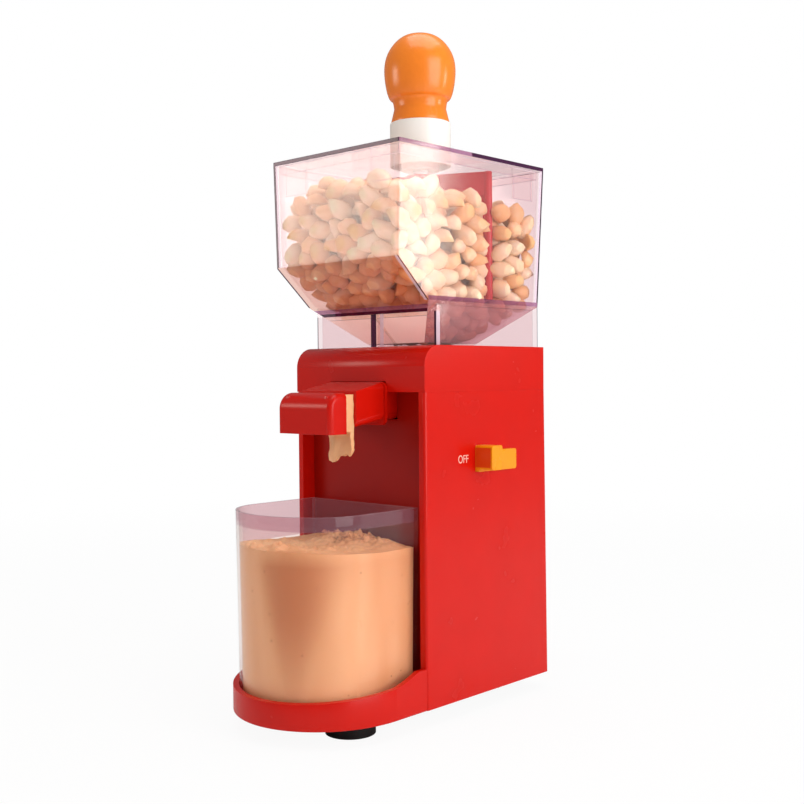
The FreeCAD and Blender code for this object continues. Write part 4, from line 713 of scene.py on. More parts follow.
@dataclass(frozen=True)
class HopperEdges:
    """Strips of the hopper's and lid's walls with painted shade and painted highlights where the moulded
    edges bend the light, and a painted reflection on the funnel's front slope.
    """

    hopper: HopperShape = HopperShape()
    lid_z: float = 338.3
    lid_dark_y: float = 45.0
    kink_half: float = 52.33
    fold_half: float = 51.55
    fold_front: float = 7.68
    seat_half: float = 52.0
    seat_y: float = 14.5
    seat_z: float = 242.3
    foot_front: float = 36.6
    rib_x: float = 2.3
    glint_x: float = 8.6
    slope_out: Point = (0, -0.673, -0.74)
    front_out: Point = (0, -1, 0)
    right_out: Point = (1, 0, 0)

    def bin(self) -> tuple[Strip, ...]:
        """Strips of the bin."""
        hopper = self.hopper
        left_top = (-hopper.rim_half, hopper.rim_front, hopper.rim_z)
        left_kink = (-self.kink_half, hopper.kink_front, hopper.kink_z)
        left_fold = (-self.fold_half, self.fold_front, hopper.fold_z)
        right_kink = (self.kink_half, hopper.kink_front, hopper.kink_z)
        right_fold = (self.fold_half, self.fold_front, hopper.fold_z)
        back_top = (hopper.rim_half, hopper.rim_back, hopper.rim_z)
        back_fold = (self.fold_half, hopper.fold_back, hopper.fold_z)
        front, slope, right = self.front_out, self.slope_out, self.right_out
        # painted shade (dark, mauve) and painted highlights (pale) along the bin's edges
        dark, pale, mauve = Finish.CLEAR_SHADE_LINE, Finish.CLEAR_HIGHLIGHT, Finish.CLEAR_MAUVE_SHADE
        seat = [(side * self.seat_half, self.seat_y, self.seat_z) for side in (-1, 1)]
        foot = [(side * self.seat_half, self.foot_front, hopper.foot_z) for side in (-1, 1)]
        return (
            Strip(left_top, left_kink, front, 2.6, dark, turn=0.05),
            Strip(left_top, left_kink, front, 1.8, pale, 2.6),
            Strip(left_kink, left_fold, slope, 1.3, dark),
            Strip(right_fold, right_kink, slope, 0.8, dark),
            Strip(right_fold, right_kink, slope, 2.2, pale, 0.8),
            Strip(back_fold, back_top, right, 2.0, dark, turn=0.05),
            Strip(back_fold, back_top, right, 2.2, pale, 2.2),
            Strip(right_fold, back_fold, right, 2.6, mauve),
            # painted reflection with a painted glow on the funnel's front slope inside the skirt
            Strip(*foot, slope, 29.8, Finish.CLEAR_TAN_REFLECTION),
            Strip(*seat, slope, 2.6, dark),
            Strip(*seat, slope, 3.5, mauve, 2.6),
        )

    def skirt(self) -> tuple[Strip, ...]:
        """Strips of the skirt and its rib: painted shade on the edges and the rib, painted highlights beside
        them.
        """
        foot_z, half, back = self.hopper.foot_z, self.hopper.fold_half, self.hopper.fold_back

        def upright(x: float) -> tuple[Point, Point]:
            """Ends of a line up the skirt's front."""
            return (x, self.seat_y, foot_z), (x, self.seat_y, self.seat_z)

        left, right = upright(-half), upright(half)
        return (
            Strip(left[1], left[0], self.front_out, 1.3, Finish.CLEAR_SHADE_LINE),
            Strip(*right, self.front_out, 1.6, Finish.CLEAR_SHADE_LINE),
            Strip(right[1], right[0], self.right_out, 3.0, Finish.CLEAR_HIGHLIGHT, 0.3),
            Strip((half, back, foot_z), (half, back, self.hopper.fold_z), self.right_out, 1.2,
                  Finish.CLEAR_SHADE_LINE),
            Strip(*upright(self.rib_x), self.front_out, 4.6, Finish.CLEAR_SHADE_LINE),
            Strip(*upright(self.glint_x), self.front_out, 3.0, Finish.CLEAR_HIGHLIGHT),
        )

    def lid(self) -> tuple[Strip, ...]:
        """Strips of the lid plate's sides, painted shade along them."""
        z, front, side = self.hopper.rim_z, self.hopper.rim_front, self.hopper.rim_half
        tall = self.lid_z - z
        middle = (side, self.lid_dark_y, z)
        return (
            Strip((-side, front, z), (side, front, z), self.front_out, tall, Finish.CLEAR_SHADE_LINE),
            Strip((side, front, z), middle, self.right_out, tall, Finish.CLEAR_MAUVE_SHADE),
            Strip(middle, (side, self.hopper.rim_back, z), self.right_out, tall, Finish.CLEAR_SHADE_LINE),
        )


@dataclass
class InnerWorks:
    """Nodes whose CAD shape stays and only gets its finish."""

    finishes: dict[Finish, tuple[str, ...]] = field(
        default_factory=lambda: {
            Finish.BLACK: ("bottom_cover", "cord_gland", "switch_body", "motor_fan"),
            Finish.RUBBER: ("chamber_seal", "foot_front_left", "foot_front_right", "foot_rear_left",
                            "foot_rear_right"),
            Finish.ZINC: ("cover_screws", "cap_screws", "frame_screws", "chamber_screws", "tray_screws"),
            Finish.STEEL: ("burr_stator", "burr_rotor", "motor_shaft", "output_spindle", "armature",
                           "stirrer_stem", "motor_can", "motor_end_cap", "motor_cradle", "drive_gear",
                           "motor_pinion"),
            Finish.WHITE: ("grind_chamber", "gear_case", "gear_cover", "butter_wiper", "feed_auger"),
            Finish.BRONZE: ("spindle_bushes", "motor_bushes", "commutator"),
            Finish.MAGNET: ("motor_magnets",),
            Finish.BOARD: ("rectifier_board",),
        }
    )

    def dress(self, frame: dict, palette: Palette) -> None:
        """Give each node its material."""
        for finish, nodes in self.finishes.items():
            for node in nodes:
                for place in frame["nodes"][node].material_slots:
                    place.link = "OBJECT"
                    place.material = palette[finish]
        LOG.info("inner works dressed")


@dataclass(frozen=True)
class Mound:
    """Rounded rise over a place."""

    x: float
    y: float
    wide: float
    long: float

    def share(self, x: float | np.ndarray, y: float | np.ndarray) -> float | np.ndarray:
        """How high it stands over a point, 1 at its top."""
        return np.exp(-(((x - self.x) / self.wide) ** 2) - (((y - self.y) / self.long) ** 2))


@dataclass(frozen=True)
class Kernel:
    """Shape of a shelled nut, whole or split, as a change to a unit ball."""

    taper: float = 0.05
    beak: float = 0.02
    beak_from: float = 0.8
    beak_run: float = 0.2
    seam_wide: float = 0.28
    seam_deep: float = 0.10
    inner_dent: float = 0.06
    split_rise: float = 1.15

    def form(self, spot: Vector, split: bool) -> Vector:
        """Turn a point of the ball into one of a kernel.

        Args:
            spot: the point.
            split: whether the nut is a half with a flat inner face.

        Returns:
            The kernel's point: a tapered end, a beak, and a seam or an inner face.
        """
        x, y, z = spot
        girth = 1.0 - self.taper * x
        beak = self.beak * max(0.0, x - self.beak_from) / self.beak_run
        y, z = y * girth, z * girth
        groove = math.exp(-((y / self.seam_wide) ** 2))
        if split:
            z = z if z > 0 else -self.inner_dent + self.seam_deep * groove * (1 - x * x)
            z = z * self.split_rise
        elif z > 0:
            z -= self.seam_deep * groove * z
        return Vector((x + beak, y, z))


@dataclass
class NutPile:
    """Nuts heaped in the hopper, packed by pushing overlapping nuts apart inside the walls."""

    hopper: HopperShape = HopperShape()
    kernel: Kernel = Kernel()
    wall: float = 2.5
    gap: float = 0.5
    spacing: float = 6.5
    half_length: float = 8.5
    half_width: float = 5.7
    split_share: float = 0.5
    rough: float = 0.26
    rough_scale: float = 1.3
    rough_shift: float = 90.0
    inside_share: float = 0.8
    wall_press: float = 0.78
    count: int = 780
    level_z: float = 317.5
    heap: float = 13.0
    heap_mound: Mound = Mound(4.0, 4.0, 42.0, 36.0)
    back_y: float = 95.0
    back_slope: float = 0.8
    rounds: int = 160
    drop: float = 0.35
    drop_share: float = 0.8
    push_share: float = 0.3
    seed: int = 7
    bar_radius: float = 44.5
    bar_angle: float = 25.0
    bar_clear: float = 2.0
    bar_free: float = 16.0
    bar_way: tuple[float, float] = (0.683, -0.73)
    plate_low: float = 317.0
    plate_share: float = 0.9
    plate_clear: float = 1.5

    def walls(self) -> np.ndarray:
        """Inner planes of the hopper, each as (nx, ny, nz, d) with n.p >= d inside."""
        hopper = self.hopper

        def plane(a: tuple[float, float], b: tuple[float, float], along_x: bool) -> list[float]:
            """Plane through two outline points, its normal turned to the hopper's middle."""
            run = np.array([b[0] - a[0], b[1] - a[1]])
            normal = np.array([-run[1], run[0]]) / np.linalg.norm(run)
            middle = np.array([0.0 if along_x else hopper.axis_y, hopper.kink_z])
            if normal @ (middle - np.array(a)) < 0:
                normal = -normal
            depth = normal @ np.array(a) + self.wall + self.gap
            return [normal[0], 0.0, normal[1], depth] if along_x else [0.0, normal[0], normal[1], depth]

        mouth_front = (hopper.axis_y - hopper.mouth_front, hopper.foot_z)
        mouth_back = (hopper.axis_y + hopper.mouth_back, hopper.foot_z)
        kink = (hopper.kink_front, hopper.kink_z)
        fold_back = (hopper.fold_back, hopper.fold_z)
        planes = [
            plane(mouth_front, kink, False),
            plane(kink, (hopper.rim_front, hopper.rim_z), False),
            plane(mouth_back, fold_back, False),
            plane(fold_back, (hopper.rim_back, hopper.rim_z), False),
        ]
        for side in (-1, 1):
            fold = (side * hopper.fold_half, hopper.fold_z)
            planes.append(plane((side * hopper.mouth_side, hopper.foot_z), fold, True))
            planes.append(plane(fold, (side * hopper.rim_half, hopper.rim_z), True))
        planes.append([0.0, 0.0, 1.0, hopper.foot_z + self.wall + self.gap])
        return np.array(planes)

    def roof(self, x: np.ndarray, y: np.ndarray) -> np.ndarray:
        """Height of the pile's surface over points of the hopper."""
        fall = self.back_slope * np.maximum(y - self.back_y, 0)
        return self.level_z + self.heap * self.heap_mound.share(x, y) - fall

    def scatter(self, planes: np.ndarray) -> np.ndarray:
        """First random centres of the nuts, all inside the walls."""
        rng = np.random.default_rng(self.seed)
        hopper = self.hopper
        low = np.array([-hopper.fold_half, hopper.kink_front, hopper.foot_z])
        high = np.array([hopper.fold_half, hopper.fold_back, self.level_z + self.heap])
        found: list[np.ndarray] = []
        while len(found) < self.count:
            spot = low + rng.random(3) * (high - low)
            if np.all(planes[:, :3] @ spot - planes[:, 3] > self.spacing * self.inside_share):
                found.append(spot)
        return np.array(found)

    def clear_bars(self, spots: np.ndarray) -> None:
        """Move nuts off the paddle's upright bars, and out of the way from the right one to the wall."""
        turn, axis = math.radians(self.bar_angle), (0, self.hopper.axis_y)
        for side, free in ((-1, 0.0), (1, self.bar_free)):
            bar = self.bar_radius * np.array([side * math.cos(turn), side * math.sin(turn)])
            share = ((spots[:, :2] - bar - axis) @ self.bar_way / free).clip(0, 1) if free else 0.0
            nearest = bar + axis + np.outer(np.ones(len(spots)) * share * free, self.bar_way)
            off = spots[:, :2] - nearest
            far = np.linalg.norm(off, axis=1)
            near = np.maximum(self.spacing + self.bar_clear - far, 0)
            spots[:, :2] += off / far[:, None] * near[:, None]

    def clear_plate(self, spots: np.ndarray) -> None:
        """Move high nuts off the paddle's flat top part."""
        turn, axis_y = math.radians(self.bar_angle), self.hopper.axis_y
        across = -spots[:, 0] * math.sin(turn) + (spots[:, 1] - axis_y) * math.cos(turn)
        beside = np.hypot(spots[:, 0], spots[:, 1] - axis_y) < self.bar_radius + self.spacing
        high_up = spots[:, 2] > self.plate_low - self.spacing
        reach = np.maximum(self.spacing * self.plate_share + self.plate_clear - np.abs(across), 0)
        push = np.where(beside & high_up, reach * np.where(across < 0, -1, 1), 0)
        spots[:, 0] -= push * math.sin(turn)
        spots[:, 1] += push * math.cos(turn)

    def settle(self) -> np.ndarray:
        """Centres of the nuts after they are pushed apart and down."""
        planes = self.walls()
        spots = self.scatter(planes)
        for step in range(self.rounds):
            spots[:, 2] -= self.drop if step < self.rounds * self.drop_share else 0.0
            apart = spots[:, None, :] - spots[None, :, :]
            distance = np.linalg.norm(apart, axis=2) + np.eye(len(spots)) * 1e3
            overlap = np.maximum(2 * self.spacing - distance, 0)
            push = (apart / distance[:, :, None] * overlap[:, :, None]).sum(axis=1)
            spots += self.push_share * push
            self.clear_bars(spots)
            self.clear_plate(spots)
            spots[:, 2] = np.minimum(spots[:, 2], self.roof(spots[:, 0], spots[:, 1]) - self.spacing)
            for plane in planes:
                depth = spots @ plane[:3] - plane[3] - self.spacing * self.wall_press
                spots -= np.minimum(depth, 0)[:, None] * plane[:3]
        return spots

    def build(self, palette: Palette) -> None:
        """Make the pile as one piece that rides on the hopper."""
        rng = random.Random(self.seed)
        shape = bmesh.new()
        toast = shape.verts.layers.float.new("toast")
        for spot in self.settle():
            angle = rng.uniform(0, math.pi)
            turn = Matrix.Rotation(angle, 4, Vector((rng.random(), rng.random(), rng.random())))
            length = self.half_length * rng.uniform(0.85, 1.08) / 1000
            width = self.half_width * rng.uniform(0.9, 1.08) / 1000
            place = Matrix.Translation(at(*spot)) @ turn @ Matrix.Diagonal((length, width, width, 1))
            made = bmesh.ops.create_icosphere(shape, subdivisions=2, radius=1.0)
            split = rng.random() < self.split_share
            value = rng.random()
            shift = Vector((value * self.rough_shift, 0, 0))
            for vert in made["verts"]:
                vert[toast] = value
                bulge = 1 + self.rough * noise.noise(vert.co * self.rough_scale + shift)
                vert.co = place @ (self.kernel.form(vert.co, split) * bulge)
        finish_piece("nuts", shape, [palette[Finish.NUT]], Body.HOPPER, 180)


def clamp(value: float) -> float:
    """Value held between 0 and 1."""
    return min(1.0, max(0.0, value))


@dataclass
class CupButter:
    """Butter that fills the cup, with a heaped, crumbly top."""

    floor_z: float = 19.0
    level_z: float = 104.0
    back: float = 4.0
    straight: float = 43.1
    nose: float = 36.9
    rim_half: float = 45.4
    draft: float = 1.5
    height: float = 111.2
    foot_z: float = 16.0
    wall: float = 1.6
    gap: float = 0.12
    heap: float = 5.5
    heap_mound: Mound = Mound(6.0, -10.0, 34.0, 16.0)
    crumb_mound: Mound = Mound(4.0, -10.0, 32.0, 16.0)
    lump_mm: float = 14.0
    lump_layers: tuple[float, float, int] = (0.9, 2.1, 3)
    lump_rise: float = 2.0
    curl_mm: float = 5.5
    curl_rise: float = 3.0
    fine_mm: float = 1.9
    fine_rise: float = 1.1
    crumb_mm: float = 3.1
    crumb_rise: float = 5.0
    patch_mm: float = 7.0
    nose_rise: float = 3.5
    nose_from: float = 25.0
    nose_run: float = 45.0
    # where the painted shade patch lies on the butter's side and how it fades
    shade_x: float = 21.0
    shade_wide: float = 21.0
    shade_deep: float = 62.0
    shade_taper: float = 0.6
    shade_least: float = 0.15
    shade_from: float = 0.4
    shade_fade: float = 0.7
    columns: int = 90
    rows: int = 80
    even_rows: float = 0.35
    steps: int = 16
    middle_y: float = 20.0

    def inset(self, z: float) -> float:
        """How far the butter's side lies inside the cup's rim outline at a height."""
        return self.draft * (1 - (z - self.foot_z) / self.height) + self.wall + self.gap

    def outline(self, u: float, v: float, z: float) -> Vector:
        """Point of the cup's section: u from -1 to 1 across, v from 0 at the back to 1 at the nose."""
        inset = self.inset(z)
        half, nose, back = self.rim_half - inset, self.nose - inset, self.back - inset
        y = back - v * (back + self.straight + nose)
        beyond = max(0.0, -self.straight - y) / nose
        return Vector((u * half * math.sqrt(max(0.0004, 1 - beyond**2)), y, z))

    def top_height(self, x: float, y: float, edge: float) -> float:
        """Height of the crumbly top over a point; edge is 1 at the wall and 0 in the middle."""
        spot = Vector((x, y, 0))
        lumps = noise.fractal(spot / self.lump_mm, *self.lump_layers) * self.lump_rise
        curls = abs(noise.noise(spot / self.curl_mm + Vector((7, 3, 1)))) * self.curl_rise
        heaped = self.heap_mound.share(x, y)
        loose = max(0.0, noise.noise(spot / self.crumb_mm + Vector((2, 9, 4)))) * self.crumb_rise * heaped
        crumbs = noise.noise(spot / self.fine_mm) * self.fine_rise + loose
        rise = self.nose_rise * clamp((-y - self.nose_from) / self.nose_run)
        return self.level_z + rise + (1 - edge**5) * (self.heap * heaped + lumps + curls + crumbs)

    def looseness(self, x: float, y: float) -> float:
        """How crumbly the top is over a point, from 0 to 1."""
        patches = noise.noise(Vector((x, y, 5)) / self.patch_mm)
        return clamp(2.2 * self.crumb_mound.share(x, y) - 0.5) * (0.5 + 0.5 * clamp(patches * 3))

    def shade_amount(self, spot: Vector) -> float:
        """Painted shade: how much darker the butter is drawn against the wall, most in a patch that narrows
        downwards.
        """
        sunk = (self.level_z - spot.z) / self.shade_deep
        wide = self.shade_wide * max(self.shade_least, 1 - self.shade_taper * sunk)
        below = max(0.0, sunk - self.shade_from) / self.shade_fade
        return math.exp(-(((spot.x - self.shade_x) / wide) ** 4)) * math.exp(-(below**2))

    def build(self, palette: Palette) -> None:
        """Make the butter as one closed piece that rides on the cup."""
        shape = bmesh.new()
        crumb = shape.verts.layers.float.new("crumb")
        painted_shade = shape.verts.layers.float.new("painted_shade")
        bmesh.ops.create_grid(shape, x_segments=self.columns, y_segments=self.rows, size=1.0)
        for vert in shape.verts:
            u, v = vert.co.x, (1 - vert.co.y) / 2
            v = v * self.even_rows + (1 - self.even_rows) * math.sin(v * math.pi / 2)
            spot = self.outline(u, v, self.level_z)
            edge = max(abs(u), abs(2 * v - 1) ** 3)
            spot.z = self.top_height(spot.x, spot.y, edge)
            vert[crumb] = self.looseness(spot.x, spot.y)
            vert.co = spot
        rim = [edge for edge in shape.edges if edge.is_boundary]
        deep = self.floor_z - self.level_z
        levels = [self.level_z + deep * step / self.steps for step in range(self.steps + 1)]
        for above, z in zip(levels, levels[1:]):
            made = bmesh.ops.extrude_edge_only(shape, edges=rim)
            new = [item for item in made["geom"] if isinstance(item, bmesh.types.BMVert)]
            rim = [item for item in made["geom"] if isinstance(item, bmesh.types.BMEdge)]
            shrink = self.inset(z) - self.inset(above)
            for vert in new:
                spot = vert.co
                across = Vector((spot.x, spot.y + self.middle_y, 0))
                spot -= across.normalized() * shrink
                spot.z = z
                vert[crumb] = 0.0
                # painted shade on the butter's side
                vert[painted_shade] = self.shade_amount(spot)
        bmesh.ops.contextual_create(shape, geom=rim)
        bmesh.ops.recalc_face_normals(shape, faces=shape.faces)
        for vert in shape.verts:
            vert.co = at(*vert.co)
        finish_piece("cup_butter", shape, [palette[Finish.BUTTER]], Body.CUP, 50)


@dataclass
class SpoutButter:
    """Butter in the slit between the arm's mouth and the hood, and the torn strip that hangs from it."""

    front: float = -31.3
    back: float = -24.5
    low: float = 172.0
    top: float = 193.6
    half: float = 21.6
    clear: float = 0.05
    swell: float = 0.3
    cuts: int = 7
    strip_left: float = 1.0
    strip_right: float = 21.4
    strip_y: float = -26.8
    strip_tuck: float = 4.0
    strip_rows: int = 14
    strip_thick: float = 3.4
    strip_taper: float = 0.10
    strip_drift: float = 1.5
    strip_ends: tuple[float, ...] = (155.0, 153.9, 154.6, 157.4, 158.2, 157.9, 159.4, 157.7, 161.3)
    ripple_mm: float = 6.0
    ripple_rise: float = 1.6
    lump_mm: float = 3.1
    lump_rise: float = 0.45
    fine_mm: float = 1.2
    fine_rise: float = 0.22
    flat: float = 0.5
    seed: int = 7

    def hang(self, across: float, down: float) -> Vector:
        """Point of the strip.

        Args:
            across: from 0 at its left edge to 1 at its right.
            down: from 0 at its top to 1 at its torn end.

        Returns:
            The point in millimetres.
        """
        ends = self.strip_ends
        place = across * (len(ends) - 1)
        index = min(int(place), len(ends) - 2)
        end = ends[index] + (place - index) * (ends[index + 1] - ends[index])
        width, taper = self.strip_right - self.strip_left, 1 - self.strip_taper * down
        x = self.strip_left + width * (0.5 + (across - 0.5) * taper) + self.strip_drift * down
        ripple = noise.noise(Vector((x / self.ripple_mm, down * 2, 4))) * self.ripple_rise
        start = self.low + self.strip_tuck
        return Vector((x, self.strip_y + ripple, start - down * (start - end)))

    def build(self, palette: Palette) -> None:
        """Make the strand as one piece that rides on the housing."""
        shape = bmesh.new()
        size = (2 * self.half, self.back - self.front, self.top - self.low, 1)
        centre = Vector((0, (self.back + self.front) / 2, (self.top + self.low) / 2))
        block = bmesh.ops.create_cube(
            shape, size=1.0, matrix=Matrix.Translation(centre) @ Matrix.Diagonal(size)
        )
        edges = once(edge for vert in block["verts"] for edge in vert.link_edges)
        bmesh.ops.subdivide_edges(shape, edges=edges, cuts=self.cuts, use_grid_fill=True)
        strip = bmesh.ops.create_grid(
            shape, x_segments=(len(self.strip_ends) - 1) * 2, y_segments=self.strip_rows, size=0.5,
            matrix=Matrix.Rotation(math.pi / 2, 4, "X"),
        )["verts"]
        for vert in strip:
            vert.co = self.hang(vert.co.x + 0.5, 0.5 - vert.co.z)
        faces = once(face for vert in strip for face in vert.link_faces)
        bmesh.ops.solidify(shape, geom=faces, thickness=self.strip_thick)
        edges = once(edge for face in shape.faces for edge in face.edges)
        bmesh.ops.subdivide_edges(shape, edges=edges, cuts=1, use_grid_fill=True)
        noise.seed_set(self.seed)
        for vert in shape.verts:
            lumps = noise.noise_vector(vert.co / self.lump_mm) * self.lump_rise
            rough = lumps + noise.noise_vector(vert.co / self.fine_mm) * self.fine_rise
            vert.co += Vector((rough.x, rough.y * self.flat, rough.z))
            vert.co.y = min(max(vert.co.y, self.front + self.clear), self.back - self.clear)
            vert.co.x = min(max(vert.co.x, -self.half - self.swell), self.half + self.swell)
            vert.co = at(*vert.co)
        bmesh.ops.recalc_face_normals(shape, faces=shape.faces)
        finish_piece("spout_butter", shape, [palette[Finish.BUTTER]], Body.HOUSING, 60)


@dataclass
class OffLetters:
    """The word OFF printed in front of the switch."""

    wall_x: float = 55.0
    front: float = 29.4
    back: float = 38.7
    low: float = 151.8
    top: float = 156.6
    thickness: float = 0.12
    font_depth: float = 0.02
    merge: float = 1e-5

    def build(self, palette: Palette) -> None:
        """Make the letters as a thin raised print on the housing."""
        curve = bpy.data.curves.new("off_curve", "FONT")
        curve.body = "OFF"
        curve.extrude = self.font_depth
        source = put_in_scene("off_source", curve)
        bpy.context.view_layer.update()
        mesh = bpy.data.meshes.new_from_object(source.evaluated_get(bpy.context.evaluated_depsgraph_get()))
        bpy.data.objects.remove(source)
        shape = bmesh.new()
        shape.from_mesh(mesh)
        bmesh.ops.remove_doubles(shape, verts=shape.verts, dist=self.merge)
        spans = [(min(line), max(line)) for line in zip(*(vert.co for vert in shape.verts))]
        for vert in shape.verts:
            along, up, out = ((c - low) / (high - low) for c, (low, high) in zip(vert.co, spans))
            vert.co = at(
                self.wall_x + out * self.thickness,
                self.front + along * (self.back - self.front),
                self.low + up * (self.top - self.low),
            )
        bmesh.ops.recalc_face_normals(shape, faces=shape.faces)
        finish_piece("off_letters", shape, [palette[Finish.LETTERS]], Body.HOUSING)


@dataclass(frozen=True)
class Lamp:
    """Softbox, placed and aimed in the machine's axes."""

    name: str
    place: Point
    aim: Point
    width_m: float
    height_m: float
    watts: float
    tint: str = "ffffff"

    def build(self) -> None:
        """Hang the lamp."""
        data = bpy.data.lights.new(self.name, "AREA")
        data.shape = "RECTANGLE"
        data.size = self.width_m
        data.size_y = self.height_m
        data.energy = self.watts
        data.color = linear(self.tint)[:3]
        eye = at(*self.place)
        turn = (at(*self.aim) - eye).to_track_quat("-Z", "Y").to_matrix().to_4x4()
        put_in_scene(self.name, data).matrix_world = Matrix.Translation(eye) @ turn


@dataclass(frozen=True)
class PaperSweep(Look):
    """White paper that keeps a faint shadow near the machine and fades into the backdrop."""

    name: str = "paper_sweep"
    paper: float = 0.9
    span: tuple[float, float] = (0.25, 1.3)
    glow: float = 0.93

    def shade(self, tree: Tree) -> Socket:
        """Add the nodes."""
        paper = add_node(tree, "ShaderNodeBsdfDiffuse", {"Color": (*(self.paper,) * 3, 1)}).outputs[0]
        lit = add_node(tree, "ShaderNodeEmission", {"Color": WHITE_LIGHT, "Strength": 1.0}).outputs[0]
        away = add_node(tree, "ShaderNodeVectorMath", {0: place_on_piece(tree)}, operation="LENGTH")
        smooth = {"interpolation_type": "SMOOTHSTEP"}
        fade = ramp(tree, away.outputs["Value"], self.glow, 1.0, self.span, **smooth)
        seen = add_node(tree, "ShaderNodeLightPath").outputs["Is Camera Ray"]
        return mixed(tree, arithmetic(tree, "MULTIPLY", fade, seen), paper, lit)


@dataclass
class Studio:
    """White floor and backdrop, soft light from the switch side, camera."""

    lens_mm: float = 50.26
    sensor_mm: float = 36.0
    near_m: float = 0.01
    azimuth_deg: float = 43.1037
    pitch_deg: float = 1.28498
    roll_deg: float = -0.47944
    eye: Point = (486.31, -480.01, 203.7)
    white: float = 1.0
    ambient: float = 0.36
    gloss_world: float = 0.25
    floor_half_m: float = 6.0
    lamps: tuple[Lamp, ...] = (
        Lamp("key_right", (1250, 60, 520), (0, 40, 200), 0.9, 0.9, 9.8),
        Lamp("haze_front", (-750, -730, 490), (0, 0, 490), 0.38, 0.27, 2.0, "fff0e2"),
        Lamp("strip_back", (754, 746, 420), (55, 0, 420), 0.09, 0.26, 0.95, "fff6ec"),
        Lamp("top_soft", (100, 100, 1300), (0, 30, 200), 1.0, 1.0, 8.0),
    )

    def camera(self) -> None:
        """Camera at the viewing angle."""
        data = bpy.data.cameras.new("camera")
        data.lens = self.lens_mm
        data.sensor_width = self.sensor_mm
        data.clip_start = self.near_m
        azimuth, pitch, roll = (math.radians(a) for a in (self.azimuth_deg, self.pitch_deg, self.roll_deg))
        flat = math.cos(pitch)
        ahead = Vector((-math.sin(azimuth) * flat, math.cos(azimuth) * flat, -math.sin(pitch)))
        right = ahead.cross(Vector((0, 0, 1))).normalized()
        up = right.cross(ahead)
        side = math.cos(roll) * right + math.sin(roll) * up
        top = -math.sin(roll) * right + math.cos(roll) * up
        turn = Matrix((side, top, -ahead)).transposed().to_4x4()
        camera = put_in_scene("camera", data)
        camera.matrix_world = Matrix.Translation(at(*self.eye)) @ turn
        bpy.context.scene.camera = camera

    def world(self) -> None:
        """White surroundings to the eye, dimmer ones to the surfaces."""
        world = bpy.data.worlds.new("studio")
        bpy.context.scene.world = world
        world.use_nodes = True
        tree = world.node_tree
        tree.nodes.clear()
        ray = add_node(tree, "ShaderNodeLightPath").outputs
        seen = arithmetic(tree, "MAXIMUM", ray["Is Camera Ray"], ray["Is Transmission Ray"])
        dim = ramp(tree, ray["Is Glossy Ray"], self.ambient, self.gloss_world)
        strength = ramp(tree, seen, dim, self.white)
        sky = add_node(tree, "ShaderNodeBackground", {"Color": WHITE_LIGHT, "Strength": strength})
        add_node(tree, "ShaderNodeOutputWorld", {0: sky.outputs[0]})

    def floor(self) -> None:
        """Floor and backdrop in one."""
        shape = bmesh.new()
        bmesh.ops.create_grid(shape, x_segments=1, y_segments=1, size=self.floor_half_m)
        mesh = bpy.data.meshes.new("floor")
        shape.to_mesh(mesh)
        shape.free()
        mesh.materials.append(PaperSweep().build())
        put_in_scene("floor", mesh)

    def build(self) -> None:
        """Set the whole stage."""
        self.camera()
        self.world()
        self.floor()
        for lamp in self.lamps:
            lamp.build()


def plain_red(node: str, edge_mm: float, finish: Finish = Finish.RED) -> DressedNode:
    """Red moulding of the housing with one finish and soft edges."""
    return DressedNode(node, Body.HOUSING, "red_plastic", finish, edge_mm)


def clear(
    node: str, body: Body, finish: Finish, edge_mm: float, *looks: object, **more: object
) -> DressedNode:
    """Clear moulding, with the finishes of its edges and walls."""
    return DressedNode(node, body, "clear_plastic", finish, edge_mm, *looks, **more)


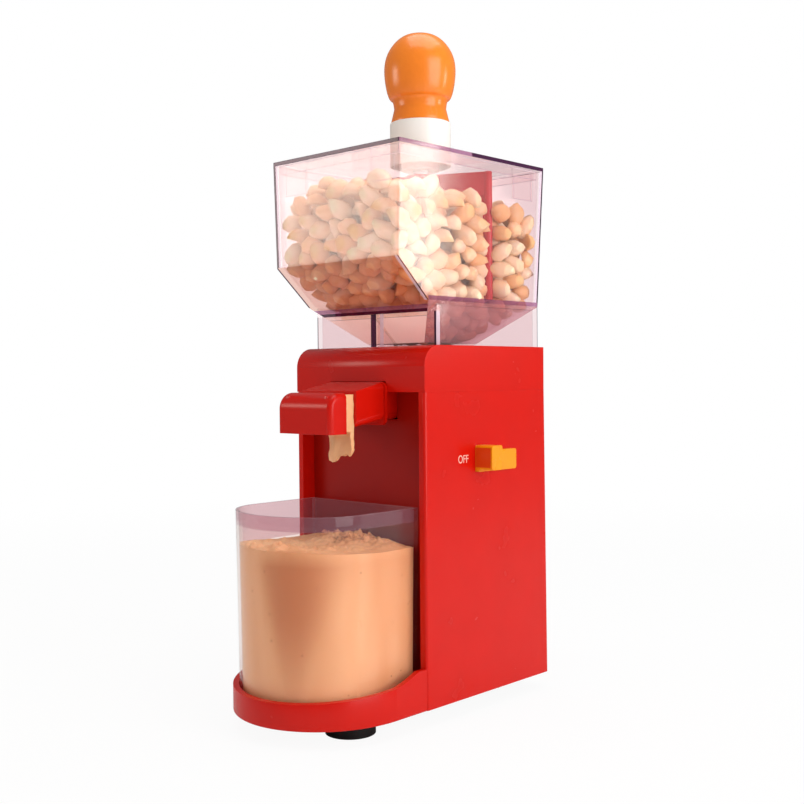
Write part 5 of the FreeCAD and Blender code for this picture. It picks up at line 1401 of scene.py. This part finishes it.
@dataclass
class Machine:
    """All the sub-assemblies that show."""

    dressed: tuple[DressedNode, ...] = (
        plain_red("main_housing", 0.5),
        # the recessed front panel gets the darker red of painted shade
        plain_red("front_panel", 0.4, Finish.RED_PANEL_SHADE),
        plain_red("top_cap", 0.5),
        plain_red("base_tray", 0.6),
        plain_red("spout_arm", 0.6),
        plain_red("spout_hood", 0.4),
        # the slider's front-facing side is a strip of painted shade
        DressedNode("switch_slider", Body.SWITCH, "yellow_plastic", Finish.YELLOW, 0.5, strips=(
            Strip((55.2, 45.3, 148.6), (66.9, 45.3, 148.6), (0, -1, 0), 12.0, Finish.SWITCH_SHADE_SIDE),)),
        # hopper pieces: painted shade and highlights on the edges, painted shade on the front slope and
        # funnel, painted reflection inside the skirt
        clear("hopper_bin", Body.HOPPER, Finish.CLEAR, 0.6, Finish.CLEAR_SHADE_LINE, HopperEdges().bin(),
              (((0.66, 0, -0.75), Finish.CLEAR_FUNNEL_SHADE), (HopperEdges.slope_out, Finish.CLEAR_SLOPE_SHADE)),
              joined=("hopper_funnel",), seam_z=HopperShape.fold_z),
        clear("hopper_spigot", Body.HOPPER, Finish.CLEAR, 0.4),
        clear("hopper_skirt", Body.HOPPER, Finish.CLEAR, 0.4, Finish.CLEAR_SHADE_LINE, HopperEdges().skirt()),
        clear("hopper_lid", Body.LID, Finish.CLEAR_LID, 0.4, Finish.CLEAR_HIGHLIGHT, HopperEdges().lid()),
        DressedNode("lid_collar", Body.LID, "white_plastic", Finish.WHITE, 0.5),
        DressedNode("stirrer_knob", Body.STIRRER, "orange_plastic", Finish.ORANGE, 0.5),
        DressedNode("stirrer_paddle", Body.STIRRER, "stirrer_red", Finish.STIRRER_RED, 0.4),
        # the cup's empty upper wall carries a painted reflection, its edges painted highlights
        clear("butter_cup", Body.CUP, Finish.CUP_CLEAR, 0.5, Finish.CUP_HIGHLIGHT, hazes=(
            PaintedReflection(119.0, (0.7, -0.7, 0), 14.0, Finish.CUP_REFLECTION),
            PaintedReflection(105.0, (-0.7, 0.7, 0), -14.0, Finish.CUP_REFLECTION))),
    )

    def build(self, frame: dict, palette: Palette) -> None:
        """Make every piece.

        Args:
            palette: the materials.
        """
        InnerWorks().dress(frame, palette)
        for node in self.dressed:
            node.build(frame, palette)
        for filling in (NutPile(), CupButter(), SpoutButter(), OffLetters()):
            filling.build(palette)


def main() -> None:
    """Build the scene."""
    logging.basicConfig(level=logging.INFO, format="%(message)s")
    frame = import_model()
    palette = Palette()
    Machine().build(frame, palette)
    Studio().build()
    bpy.context.scene.view_settings.view_transform = "Standard"
    bpy.context.view_layer.update()


if __name__ == "__main__":
    main()
